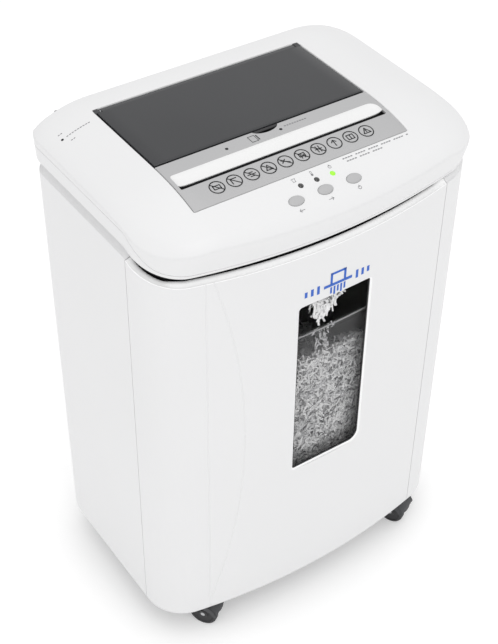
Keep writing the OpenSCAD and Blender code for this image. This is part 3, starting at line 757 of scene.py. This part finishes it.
tools = [prism("tool", ellipse(16.5, 10.8), -12, 12, white, on_lip(x, BUTTON_Y)) for x in BUTTON_XS]
tools += [prism("tool", circle(2.7), -12, 12, white, on_lip(x, LED_Y)) for x in LED_XS]
bez_lo, bez_hi = corners("rocker_bezel")
bez_x = (bez_lo[0] + 1.0, bez_hi[0] - 1.0)
tools.append(block("tool", *bez_x, 120, 140, bez_lo[2] + 1.0, bez_hi[2] - 0.4, white))
cut(lid, tools, smooth=50)
finish_piece(lid, "cabinet", "white_shell", "head_top_cover")

# lower shell: skirt below the parting line, its underside and the neck
rings = [wall_ring(lambda i: parting_at(i) + 0.15, True), wall_ring(lambda i: parting_at(i) - 0.2, True),
         wall_ring(lambda i: parting_at(i) - 0.3)]
rings += wall_rings(lambda i: parting_at(i) - 0.3, lambda i: wall_bottom(i) + 0.8)
rings += [ring_at(skirt_plan(0.25), lambda i: wall_bottom(i) + 0.25), ring_at(skirt_plan(0.8), wall_bottom)]
neck0, neck1, neck_inside, skirt_inside = body_plan(12.4), body_plan(12.0), body_plan(15), skirt_plan(3)
rings += [ring_at(neck0, lambda i: wall_bottom(i) + 0.2), ring_at(neck1, lambda i: wall_bottom(i) - 0.3),
          ring_at(neck1, lambda i: 486.0), ring_at(neck1, lambda i: NECK_FOOT),
          ring_at(neck_inside, lambda i: NECK_FOOT), ring_at(neck_inside, lambda i: wall_bottom(i) + 3),
          ring_at(skirt_inside, lambda i: wall_bottom(i) + 3),
          ring_at(skirt_inside, lambda i: parting_at(i) + 0.15)]
skirt = loft("head_skirt", rings, [white, neck_light_painted, black], loop=True, smooth=50)
# below the skirt's edge: painted shade, the neck is black along the front where the crack under the head
# shows; painted light elsewhere, the lighter neck white
for p in skirt.data.polygons:
    c = p.center / MM
    if c.z < falling(SKIRT_SIDE, SKIRT_FRONT, c.y) - 0.2:
        p.material_index = 2 if c.y < SEAM_LEFT_Y - 1 and c.x < 130 else 1
gland_lo, gland_hi = corners("cord_gland")
gland_mid = (gland_lo + gland_hi) / 2
gland_hole = prism("tool", circle((gland_hi[0] - gland_lo[0]) / 2 - 1.5), -12, 12, white,
                   placed(gland_mid[0], gland_hi[1] - 2, gland_mid[2], 90))
bezel_hole = block("tool", *bez_x, 118, 140, bez_lo[2] + 0.4, bez_hi[2] - 0.4, white)
cut(skirt, [bezel_hole, gland_hole], smooth=50)
finish_piece(skirt, "cabinet", "white_shell")

# the floor of the head, which carries the cutting unit
pan_z = corners("head_lower_shell")[0][2]
pan = prism("head_pan", body_plan(15.2), pan_z, pan_z + 3, charcoal)
outlet = block("tool", -127, 101, -80, -34, 455, 470, white)
cut(pan, [outlet])
finish_piece(pan, "cabinet", "white_shell", "head_lower_shell")


# ---- silver panel, trough and cover
def crowned_plate(name, x0, x1, y0, y1, top, thick, mats, edge=0.5):
    """A plate that follows the head's crown, with softly rounded edges."""

    def spread(a, b, n):
        inner = list(np.linspace(a, b, n + 1)[1:-1])
        return [a, a + edge * 0.3, a + edge] + inner + [b - edge, b - edge * 0.3, b]

    def drop(v, a, b):
        d = min(v - a, b - v)
        return edge * (1 - math.sqrt(max(0.0, 1 - (1 - min(1.0, d / edge)) ** 2)))

    xs, ys = spread(x0, x1, 16), spread(y0, y1, 30)
    verts, faces = [], []
    for layer in (0, 1):
        for x in xs:
            for y in ys:
                z = crown(y) - top
                z = z - max(drop(x, x0, x1), drop(y, y0, y1)) if layer == 0 else z - thick
                verts.append((x, y, z))
    w = len(ys)
    m = len(xs) * w
    for i in range(len(xs) - 1):
        for j in range(w - 1):
            a = i * w + j
            faces.append((a, a + w, a + w + 1, a + 1))
            faces.append((m + a, m + a + 1, m + a + w + 1, m + a + w))
    rim = [i * w for i in range(len(xs))] + [(len(xs) - 1) * w + j for j in range(1, w)]
    rim += [i * w + w - 1 for i in range(len(xs) - 2, -1, -1)] + [j for j in range(w - 2, 0, -1)]
    for k in range(len(rim)):
        a, b = rim[k], rim[(k + 1) % len(rim)]
        faces.append((a, m + a, m + b, b))
    return mesh_object(name, verts, faces, mats, smooth=50)


panel = crowned_plate("feed_panel", INSET_X[0], INSET_X[1], PANEL_FRONT, COVER_LINE - 1.7, 0.05, 2.4, silver)
TROUGH = (trough_lo[0] - 0.2, trough_hi[0] + 0.2, -62.0, trough_hi[1])
notch_pts = [(FEED_X + x, COVER_LINE + 0.2 + y) for x, y in ellipse(30.0, 17.6, 36)]
mouth = rounded_rect(*TROUGH, (1.5, 2.5, 9, 3))
cut(panel, [prism("tool", pts, 540, 590, white) for pts in (notch_pts, mouth)], smooth=40)
finish_piece(panel, "cabinet", "silver_plastic", "silver_panel")


# trough: a white scoop, deepest along the slot at its front edge
def scoop_end(x):
    """The corner radius at this end of the scoop, and the distance to the end."""
    return 9.0 if x > 0 else 3.0, min(x - TROUGH[0], TROUGH[1] - x)


def scoop_height(x, y):
    """Height of the scoop: it dips away from its rear edge and its two rounded ends."""
    r, end = scoop_end(x)
    back_gap = TROUGH[3] - y
    if end < r and back_gap < r:
        edge = r - math.hypot(r - end, r - back_gap)
    else:
        edge = min(end, back_gap)
    return crown(y) - 0.2 - 2.8 * (1 - math.exp(-max(0.0, edge) / 3.6))


xs = sorted(set([TROUGH[0] + v for v in (0, 0.6, 1.5, 2.6, 4, 6, 9, 13)]
                + [TROUGH[1] - v for v in (0, 0.6, 1.2, 2, 3, 4, 5, 6.5, 8, 10, 13)]
                + list(np.linspace(TROUGH[0] + 18, TROUGH[1] - 18, 30))))
cols = []
for x in xs:
    r, end = scoop_end(x)
    pull = r - math.sqrt(max(0.0, r * r - (r - end) ** 2)) if end < r else 0.0
    back_y = TROUGH[3] - pull
    ys = [back_y + (SLOT_Y[1] - back_y) * (k / 14) ** 1.5 for k in range(15)]
    ring = [(x, y, scoop_height(x, y)) for y in ys]
    low = ring[-1][2]
    ring += [(x, SLOT_Y[1] - 0.3, low - 0.5), (x, SLOT_Y[1] + 0.3, low - 1.6), (x, SLOT_Y[1] + 1.5, 531),
             (x, SLOT_Y[1] + 3.5, 531), (x, SLOT_Y[1] + 3.5, low - 3), (x, back_y + 1.2, crown(back_y) - 6),
             (x, back_y + 1.2, crown(back_y) - 2.6), (x, back_y + 0.05, crown(back_y) - 2.6)]
    cols.append(ring)
scoop = loft("trough_scoop", cols, [white_gloss, charcoal], caps=True, smooth=50)
# painted shade: faces below 559.5, the slot's walls and the scoop's underside, are charcoal
for p in scoop.data.polygons:
    if p.center.z / MM < 559.5:
        p.material_index = 1
front_guide = block("trough_guide", TROUGH[0] + 0.4, TROUGH[1] - 0.4, TROUGH[2] + 0.1, SLOT_Y[0], 522,
                    crown(TROUGH[2]) - 1.4, guide_grey, edge=0.4)
finish_piece(scoop, "cabinet", "white_shell", "feed_trough")
finish_piece(front_guide, "cabinet", "white_shell")

ears = [block("ear", a, b, 83.2, 90.3, 556, 569.3, charcoal, edge=0.5)
        for a, b in ((INSET_X[0] - 0.3, INSET_X[0] + 5.4), (INSET_X[1] - 5.4, INSET_X[1] + 0.3))]
finish_piece(join("hinge_ears", ears), "cabinet", "dark_plastic")
# painted shade: a black strip under the joint of panel and cover, so the gap there reads dark
gap_shade = crowned_plate("cover_gap_shade", INSET_X[0] + 0.6, INSET_X[1] - 0.6, COVER_LINE - 3.4, COVER_LINE - 0.1,
                     1.1, 1.3, black)
finish_piece(gap_shade, "cabinet", "dark_plastic")

# cover: a smoked plate, cut back for the hinge's ears, with a barrel between them
cov_x = (cover_lo[0] + 1.0, cover_hi[0] - 0.6)
cov_y = (cover_lo[1] + 0.3, 87.2)
cover = crowned_plate("smoked_cover", cov_x[0], cov_x[1], cov_y[0], cov_y[1], 0.2, 2.6, smoke, edge=0.7)
ear_x = (cov_x[0] + 5.6, cov_x[1] - 5.6)
tools = [block("tool", a, b, 82.8, 100, 540, 600, white)
         for a, b in ((cov_x[0] - 1, ear_x[0]), (ear_x[1], cov_x[1] + 1))]
cut(cover, tools, smooth=40)
barrel = prism("cover_barrel", circle(2.8, 24), *ear_x, smoke, placed(0, 87.2, 566.6, 90, "Y"))
finish_piece(cover, "cover", "smoke_plastic", "autofeed_cover")
finish_piece(barrel, "cover", "smoke_plastic")


# ---- buttons and lights
for x, key in zip(BUTTON_XS, ("reverse", "forward", "power")):
    rings = []
    for inset, z in ((0, -6.5), (0, 0.3), (0.25, 0.75), (0.8, 1.15), (1.8, 1.45), (3.2, 1.62), (4.4, 1.68)):
        pts = ellipse(15.9 - 2 * inset, 10.2 - 2 * inset)
        rings.append([on_lip(x, BUTTON_Y) @ Vector((px, py, z)) for px, py in pts])
    o = loft("key_" + key, rings, grey_key, caps=True, smooth=60)
    finish_piece(o, key + "_key", "button_grey", "button_" + key)


def light(name, x, node, material, slot):
    profile = [(0.0, 0.75), (0.9, 0.65), (1.7, 0.35), (2.3, -0.1), (2.5, -0.8), (2.5, -8), (0.0, -8)]
    o = lathe(name, profile, material, on_lip(x, LED_Y), 28)
    return finish_piece(o, "cabinet", slot, node)


light("light_full", LED_XS[0], "led_full", lens_dark, "lens_dark")
light("light_hot", LED_XS[1], "led_overheat", lens_dark, "lens_dark")
light("light_on", LED_XS[2], "led_power", lens_green, "lens_green")


# ---- tub, shreds
def tub_outline(d):
    x0, x1, y1 = tub_lo[0] + d, tub_hi[0] - d, tub_hi[1] - d
    return [(min(max(x, x0), x1), min(y, y1)) for x, y in body_plan(11 + d)]


low, high = tub_lo[2], tub_hi[2]
rings = []
for d, z in ((0, low), (0, high - 5), (-1.6, high - 4.6), (-1.6, high - 0.4), (-1.2, high), (0.0, high),
             (2.0, high), (2.4, high - 0.4), (2.4, low + 2.4)):
    rings.append([(x, y, z) for x, y in tub_outline(d)])
tub = loft("bin_tub_shell", rings, [tub_smoke, tub_rim_highlight], caps=True, smooth=35)
# painted highlight: the rim's top faces at the front take the light grey
for p in tub.data.polygons:
    c = p.center / MM
    if p.normal.z > 0.5 and c.z > tub_hi[2] - 1 and c.y < front_face_y(c.x) + 10.9:
        p.material_index = 1
finish_piece(tub, "drawer", "smoke_plastic", "bin_tub")


def strip(batch, centre, along, normal, length, width, curl, mat):
    """Adds one paper strip to a batch: a thin curved ribbon with real thickness."""
    verts, faces, face_mats = batch
    along = along.normalized()
    side = normal.cross(along).normalized()
    up = along.cross(side).normalized()
    seg = 4
    base = len(verts)
    for k in range(seg + 1):
        s = k / seg - 0.5
        c = centre + along * (length * s) + up * (curl * (4 * s * s - 0.33))
        for sx, sz in ((-1, -1), (1, -1), (1, 1), (-1, 1)):
            verts.append(c + side * (width / 2 * sx) + up * (0.09 * sz))
    for k in range(seg):
        a = base + 4 * k
        for q in range(4):
            faces.append((a + q, a + (q + 1) % 4, a + 4 + (q + 1) % 4, a + 4 + q))
    e = base + 4 * seg
    faces += [(base + 3, base + 2, base + 1, base), (e, e + 1, e + 2, e + 3)]
    face_mats += [mat] * (4 * seg + 2)


def vary(spread):
    return rng.uniform(-spread, spread)


def pick():
    r = rng.random()
    return 0 if r < 0.55 else (1 if r < 0.86 else 2)


def heap_height(x, y):
    """The heap's top: it falls away from the front wall and is lumpy behind."""
    lumps = 4 * math.sin(x / 17 + y / 23) + 3 * math.sin(x / 9 - y / 13)
    slope = min(150.0, 1.15 * max(0.0, y + 110))
    return pile_top - 5 - slope - 8 * (x / 160) ** 2 + smoothstep((y + 108) / 60) * lumps


def paper_mesh(name):
    """A mesh of the strips batched so far."""
    verts, faces, face_mats = batch
    return mesh_object(name, verts, faces, papers, face_mats, smooth=60)


PRESSED, LYING, HANGING, DROPPED = 4600, 1500, 300, 34  # how many strips
SHRED_FRONT = 14.6  # from the drawer's face to where the strips start, inside the tub's front wall
batch = ([], [], [])
# strips pressed against the front wall, behind the window
for _ in range(PRESSED):
    x = rng.uniform(win_x[0] - 10, win_x[1] + 14)
    z = rng.uniform(win_z[0] - 22, pile_top - 3)
    y = front_face_y(x) + SHRED_FRONT + rng.uniform(0.3, 6.0)
    a = rng.uniform(0, math.pi)
    n = Vector((rng.gauss(0, 0.35), -1, rng.gauss(0, 0.35))).normalized()
    al = Vector((math.cos(a), rng.gauss(0, 0.12), math.sin(a)))
    strip(batch, Vector((x, y + 1.5, z)), al, n, rng.uniform(6, 13), rng.uniform(1.3, 2.1), vary(1.6), pick())
# strips lying on the heap
for _ in range(LYING):
    x = rng.uniform(tub_lo[0] + 16, tub_hi[0] - 16)
    y = rng.uniform(-98, tub_hi[1] - 16)
    if x < -150 and y < -75:
        continue
    z = heap_height(x, y) + rng.uniform(0.5, 6)
    a = rng.uniform(0, math.pi)
    n = Vector((rng.gauss(0, 0.35), rng.gauss(0, 0.35), 1)).normalized()
    al = Vector((math.cos(a), math.sin(a), rng.gauss(0, 0.2)))
    strip(batch, Vector((x, y, z)), al, n, rng.uniform(16, 32), rng.uniform(2.8, 4.0), vary(2.5), pick())
finish_piece(paper_mesh("loose_shreds"), "drawer", "paper")

# the body of the heap, in the shaded paper as painted shade
rings = []
floor_z = tub_lo[2] + 3
for rise in (0.0, 0.5, 0.95):
    rings.append([(x, y, floor_z + rise * (heap_height(x, y) - 6 - floor_z)) for x, y in tub_outline(9.0)])
for t in (1.0, 0.97, 0.94, 0.9, 0.85, 0.8, 0.73, 0.65, 0.5, 0.35, 0.2, 0.08):
    ring = []
    for x, y in tub_outline(9.5):
        px, py = x * t - 19 * (1 - t), y * t
        ring.append((px, py, heap_height(px, py) - 3 + rng.uniform(-1.5, 1.5)))
    rings.append(ring)
heap = loft("shred_heap", rings, papers[1], caps=True, smooth=60)
finish_piece(heap, "drawer", "paper", "shred_pile")

# shreds that hang from the outlet, and a few that have dropped off them
batch = ([], [], [])
for _ in range(HANGING):
    f = rng.random() ** 0.8
    length = rng.uniform(9, 19)
    z = max(396 + 52 * f, tub_hi[2] + 3 + length / 2)
    x = -3 + 12 * f + rng.uniform(-1, 1) * (8 + 25 * f)
    y = -113.5 + rng.random() * (2 + 12 * f)
    al = Vector((rng.gauss(0, 0.55), rng.gauss(0, 0.2), -1)).normalized()
    n = Vector((rng.gauss(0, 0.5), -1, rng.gauss(0, 0.3)))
    # most hanging strips are white, some take the shaded paper as painted shade
    strip(batch, Vector((x, y, z)), al, n, length, rng.uniform(1.3, 2.2), vary(2.5),
          0 if rng.random() < 0.85 else 1)
hanging = paper_mesh("hanging_shreds")
for v in hanging.data.vertices:
    v.co.z = max(v.co.z, (tub_hi[2] + 2) * MM)
finish_piece(hanging, "cabinet", "paper")
batch = ([], [], [])
# painted shade: the dropped strips all take the shaded paper
for _ in range(DROPPED):
    z = rng.uniform(346, 376)
    x = 5 + rng.gauss(0, 6)
    al = Vector((rng.gauss(0, 0.5), 0, -1)).normalized()
    strip(batch, Vector((x, -107 + rng.uniform(-2, 3), z)), al, Vector((rng.gauss(0, 0.4), -1, 0)),
          rng.uniform(5, 10), rng.uniform(1.2, 2.0), vary(2), 1)
finish_piece(paper_mesh("dropped_shreds"), "drawer", "paper")


# ---- casters
TRAIL, WHEEL_R = 8, 16


def caster(tag, turn):
    middle = sum(corners("caster_wheels_" + tag)) / 2
    a = math.radians(turn)
    place = placed(middle[0] + TRAIL * math.sin(a), middle[1] - TRAIL * math.cos(a), 0, turn, "Z")
    axle = place @ placed(0, TRAIL, WHEEL_R, 90, "Y")
    wheels = []
    for side in (-1, 1):
        prof = [(2.6, 3.4), (14.6, 3.4), (15.7, 4.1), (WHEEL_R, 5.2), (WHEEL_R, 10.0), (15.4, 11.4),
                (14.4, 12.0), (12.8, 12.2), (12.2, 11.3), (6.0, 10.8), (5.2, 11.9), (0.01, 11.9)]
        wheels.append(lathe("wheel", [(r, side * z) for r, z in prof], tread, axle, 56))
    axle_rod = prism("axle", circle(2.5, 20), -12, 12, steel, axle)
    w = join("wheels_" + tag, wheels + [axle_rod])
    finish_piece(w, "wheels_" + tag, "caster_tyre", "caster_wheels_" + tag)
    # hood: a shell over both wheels, with a web between, a cheek at each side and the stem on top
    side_place = place @ placed(0, TRAIL, WHEEL_R, 90, "Z") @ placed(0, 0, 0, 90)
    outer_pts = arc_points(18.4, 17, 164, 6)
    hood = prism("hood", outer_pts + arc_points(16.9, 163, 16, -6), -14.4, 14.4, charcoal, side_place)
    bevel(hood, 0.5, 2)
    web_pts = arc_points(12, -170, -9, 10) + [(17.0, 5.0), (12.0, 15.2), (-12.0, 15.2), (-17.0, 5.0)]
    web = prism("web", web_pts, -2.6, 2.6, charcoal, side_place)
    cut(web, [prism("tool", circle(2.6, 20), -20, 20, white, axle)])
    bevel(web, 0.4, 2)
    parts = [hood, web]
    cheek_pts = outer_pts + [(-16.9, 4), (-14, 3.5), (-9, 9), (0, 11.5), (9, 9), (14, 3.5), (16.9, 4)]
    for z0, z1 in ((-14.4, -13.0), (13.0, 14.4)):
        parts.append(prism("cheek", cheek_pts, z0, z1, charcoal, side_place))
    stem = prism("stem", circle(4.0, 28), 31, 48, steel, place)
    neck = prism("neck", circle(7.5, 32), 30, 35.2, charcoal, place)
    bevel(neck, 0.6, 2)
    parts += [stem, neck]
    h = join("hood_" + tag, parts)
    shade(h, 35)
    finish_piece(h, "swivel_" + tag, "caster_plastic", "caster_body_" + tag)


for tag, turn in (("fl", 214), ("fr", 205), ("rl", 12), ("rr", -18)):
    caster(tag, turn)


# ---- printed symbols
def on_panel(x, y):
    slope = math.atan2(crown(y + 2) - crown(y - 2), 4)
    return Matrix.Translation((x, y, crown(y) - 0.03)) @ Matrix.Rotation(slope, 4, "X")


INK_H = 0.12  # thickness of the printed lines


def ring_shape(r0, r1, place, mats, n):
    return lathe("ring", [(r0, 0), (r1, 0), (r1, INK_H), (r0, INK_H)], mats, place, n)


def bar(points, width, place, mats):
    """A flat printed line through 2D points."""
    parts = []
    for (x0, y0), (x1, y1) in zip(points[:-1], points[1:]):
        d = math.hypot(x1 - x0, y1 - y0)
        w = width / 2
        ux, uy = (x1 - x0) / d * w, (y1 - y0) / d * w
        pts = [(x0 - ux - uy, y0 - uy + ux), (x0 - ux + uy, y0 - uy - ux),
               (x1 + ux + uy, y1 + uy - ux), (x1 + ux - uy, y1 + uy + ux)]
        parts.append(prism("bar", pts, 0, INK_H, mats, place))
    return parts


def drawn(lines, width, place, mats):
    """Several printed lines of one width."""
    return [part for line in lines for part in bar(line, width, place, mats)]


def boxed(x0, y0, x1, y1):
    """The line round a rectangle."""
    return [(x0, y0), (x1, y0), (x1, y1), (x0, y1), (x0, y0)]


def dash(a, b, place, z=0.08):
    """A dash 2 a long and 2 b high."""
    return prism("mark", boxed(-a, -b, a, b)[:4], 0, z, ink_grey, place)


def dot(r, n, mats, place, z=0.1):
    return prism("mark", circle(r, n), 0, z, mats, place)


symbol_parts = []
GLYPHS = [
    [boxed(-3.5, -2, 3.5, 2)],
    [[(-3, -3), (-3, 3), (3, 3)], [(0, 0), (3, -3)]],
    [[(-4, 0), (4, 0)], [(-2, 2.4), (2, 2.4)], [(-2, -2.4), (2, -2.4)]],
    [[(-3.4, -2.4), (0, 3.4), (3.4, -2.4), (-3.4, -2.4)]],
    [[(-3.6, 2), (3.6, -2)], [(-3.6, -1), (0.5, 2.6)]],
    [boxed(-3, -1.5, 3, 2.4), [(-1.6, -3.4), (-1.6, 0)], [(1.6, -3.4), (1.6, 0)]],
    [[(-1.5, -3.6), (-1.5, 3.6)], [(1.5, -3.6), (1.5, 3.6)], [(-3.4, 0), (3.4, 0)]],
    [[(0, -3.6), (0, 3.6)], [(-2.4, 1.2), (0, 3.6), (2.4, 1.2)]],
    [boxed(-3.4, -2.8, 3.4, 2.8), [(0, -2.8), (0, 2.8)]],
    [[(-3.8, -2.6), (0, 3.8), (3.8, -2.6), (-3.8, -2.6)], [(0, -1), (0, 1.6)]],
]
for k, glyph in enumerate(GLYPHS):
    x = -98.2 + k * 18.55
    place = on_panel(x, -73.0)
    symbol_parts.append(ring_shape(6.6, 7.65, place, ink, 40))
    symbol_parts += drawn(glyph, 1.0, place, ink)
    if k < 7:  # the first seven are struck through
        symbol_parts += bar([(-4.9, 4.9), (4.9, -4.9)], 1.0, place, ink)
finish_piece(join("feed_symbols", symbol_parts), "cabinet", "dark_plastic")

# behind the trough: two dots, a card and a row of dashes
marks = [dot(1.6, 20, ink, on_panel(x, -33.0), INK_H) for x in (-61.4, -1.0)]
card = on_panel(-32.0, -32.5)
marks += bar(boxed(-3.4, -4.4, 3.4, 4.4), 0.5, card, ink) + bar([(5.2, -3.4), (5.2, 3.4)], 1.0, card, ink)
marks += [dash(0.9, 0.7, on_panel(5.5 + 2.9 * k, -30.5), 0.1) for k in range(9)]
finish_piece(join("feed_marks", marks), "cabinet", "dark_plastic")


def on_top(x, y):
    """A frame on the head's top surface, Z along its normal."""
    gx = (top_height(x + 1, y) - top_height(x - 1, y)) / 2
    gy = (top_height(x, y + 1) - top_height(x, y - 1)) / 2
    n = Vector((-gx, -gy, 1)).normalized()
    u = Vector((1, 0, gx)).normalized()
    v = n.cross(u)
    m = Matrix((u, v, n)).transposed().to_4x4()
    return Matrix.Translation((x, y, top_height(x, y) + 0.03)) @ m


# beside the lights: full bin, heat, power
f = on_top(LED_XS[0] - 3, LED_Y + 6.6)
bin_sign = [[(-1.6, 1.6), (-1.2, -1.4), (1.2, -1.4), (1.6, 1.6)], [(-2.1, 2.2), (2.1, 2.2)]]
marks = drawn(bin_sign, 0.35, f, ink_grey)
f = on_top(LED_XS[1] - 1, LED_Y + 7.2)
marks += bar([(-0.7, -0.6), (-0.7, 2.6), (0.7, 2.6), (0.7, -0.6)], 0.3, f, ink_grey)
marks.append(dot(1.2, 16, ink_grey, on_top(LED_XS[1] - 1, LED_Y + 5.8)))
f = on_top(LED_XS[2] + 1.5, LED_Y + 7.0)
marks.append(ring_shape(1.35, 1.75, f, ink_grey, 24))
marks += bar([(0, 0.6), (0, 2.4)], 0.4, f, ink_grey)
# below the keys: arrows out and in, power
for x, way in zip(BUTTON_XS[:2], (-1, 1)):
    tip = (2.6 * way, 0)
    arrow = [[(-2.6 * way, 0), tip], [(0.9 * way, 1.5), tip, (0.9 * way, -1.5)]]
    marks += drawn(arrow, 0.4, on_top(x, BUTTON_Y - 9.5), ink_grey)
f = on_top(BUTTON_XS[2], BUTTON_Y - 9.5)
marks.append(ring_shape(1.45, 1.85, f, ink_grey, 24))
marks += bar([(0, 0.5), (0, 2.5)], 0.4, f, ink_grey)
# two rows of plain dashes, in place of a notice
for y, x0, count in ((-92.6, 27.5, 26), (-96.2, 30.0, 15)):
    marks += [dash(1.1, 0.55, on_top(x0 + 3.0 * k, y)) for k in range(count) if k % 5 != 4]
# rear left: marks of the power switch
for q in range(2):
    marks += [dash(0.9, 0.5, on_top(x + 2.6 * q, y)) for x, y in ((-172.0, 84), (-166.5, 68))]
marks += [dash(1.0, 0.5, on_top(-167.0 + 2.9 * q, 76)) for q in range(9)]
marks.append(dot(1.4, 16, ink, on_top(-172.5, 76)))
finish_piece(join("head_marks", marks), "cabinet", "dark_plastic")


# blue pictogram above the window: a sheet going into a shredder, and its strips
def on_front(x, z):
    a = math.asin(x / BODY_BOW)
    u = Vector((math.cos(a), math.sin(a), 0))
    n = Vector((math.sin(a), -math.cos(a), 0))
    m = Matrix((u, Vector((0, 0, 1)), n)).transposed().to_4x4()
    return Matrix.Translation((x, front_face_y(x) - 0.05, z)) @ m


SIGN_X, SIGN_Z = 3.0, 446.0
f = on_front(SIGN_X, SIGN_Z)
marks = bar([(-8, 2), (-8, 13), (8, 13), (8, 2)], 2.6, f, ink_blue)
marks += bar([(-15, 0), (15, 0)], 3.2, f, ink_blue)
for k in range(5):
    marks += bar([(-8 + 4 * k, -3.8), (-8 + 4 * k, -9.2 - (2.2 if k % 2 else 0))], 2.1, f, ink_blue)
for side in (-1, 1):
    for k in range(3):
        f = on_front(SIGN_X + side * (23 + 7.0 * k), SIGN_Z)
        marks += bar([(0, -3.4 + k * 0.8), (0, 3.4 - k * 0.8)], 3.0, f, ink_blue)
finish_piece(join("front_pictogram", marks), "drawer", "dark_plastic")

# ---- materials of the CAD nodes that stay
KEEP = (
    (steel, "head_brackets", "cover_hinge_pins", "left_side_plate", "right_side_plate", "gear_plate",
     "tie_rods", "gear_axles", "front_cutter_gear", "rear_cutter_gear", "output_gear", "motor_shaft",
     "drawer_rails", "unit_screws"),
    (black, "paper_tray", "motor_fan", "tact_switches", "rocker_bezel", "cord_gland", "interlock_switch",
     "interlock_tab", "drawer_runners"),
    (charcoal, "base_plate", "power_rocker", "caster_sockets"),
    (nylon, "front_stripper", "rear_stripper", "second_gear", "first_gear"),
    (cutter_steel, "front_cutter", "rear_cutter"), (rubber, "feed_roller", "feed_belt"),
    (board, "control_board", "power_board"), (bronze, "shaft_bushes"), (lacquer, "motor_body"),
)
for material, *nodes in KEEP:
    for node in nodes:
        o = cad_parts[node]
        o.data.materials.clear()
        o.data.materials.append(material)

# ---- stage, light, camera
bpy.ops.mesh.primitive_plane_add(size=12, location=(0, 0, 0))
floor = bpy.context.object
floor.name = "floor"
floor_mat = bpy.data.materials.new("floor_white")
floor_mat.use_nodes = True
put(principled(floor_mat), Base_Color=(0.78, 0.78, 0.78, 1), Roughness=0.9, Specular_IOR_Level=0.1,
    Emission_Color=(1, 1, 1, 1), Emission_Strength=0.3)
floor.data.materials.append(floor_mat)

world = bpy.data.worlds.new("studio")
world.use_nodes = True
scene.world = world
put(world.node_tree.nodes["Background"], Color=(1, 1, 1, 1), Strength=0.86)


def area(name, at, target, size, power):
    """A rectangular lamp, in metres and watts, that looks at a target."""
    data = bpy.data.lights.new(name, "AREA")
    data.shape = "RECTANGLE"
    data.size, data.size_y = size
    data.energy = power
    o = bpy.data.objects.new(name, data)
    scene.collection.objects.link(o)
    o.location = at
    o.rotation_euler = (Vector(target) - Vector(at)).to_track_quat("-Z", "Y").to_euler()


area("key_light", (-0.3, -1.6, 2.6), (0, 0, 0.4), (1.6, 1.4), 12)
area("fill_light", (-2.4, -0.6, 1.4), (0, 0, 0.3), (1.6, 1.6), 3)
area("top_light", (0.2, 0.1, 2.6), (0, 0, 0.4), (1.8, 1.8), 6)

# the photo's view: direction, roll, focal length over picture height, and place in metres
CAM_AZ, CAM_EL, CAM_ROLL = math.radians(-34.77), math.radians(40.62), math.radians(0.71)
FOCAL = 1322.43 / 644
CAM_AT = (-0.62286, -0.88076, 1.23233)
back = Vector((math.sin(CAM_AZ) * math.cos(CAM_EL), -math.cos(CAM_AZ) * math.cos(CAM_EL), math.sin(CAM_EL)))
right = (-back).cross(Vector((0, 0, 1))).normalized()
up = right.cross(-back)
r2 = right * math.cos(CAM_ROLL) + up * math.sin(CAM_ROLL)
u2 = -right * math.sin(CAM_ROLL) + up * math.cos(CAM_ROLL)
cam_data = bpy.data.cameras.new("camera")
cam_data.sensor_width = 36
cam_data.lens = FOCAL * cam_data.sensor_width
cam = bpy.data.objects.new("camera", cam_data)
scene.collection.objects.link(cam)
cam.matrix_world = Matrix.Translation(CAM_AT) @ Matrix((r2, u2, back)).transposed().to_4x4()
scene.camera = cam
scene.view_settings.view_transform = "Standard"
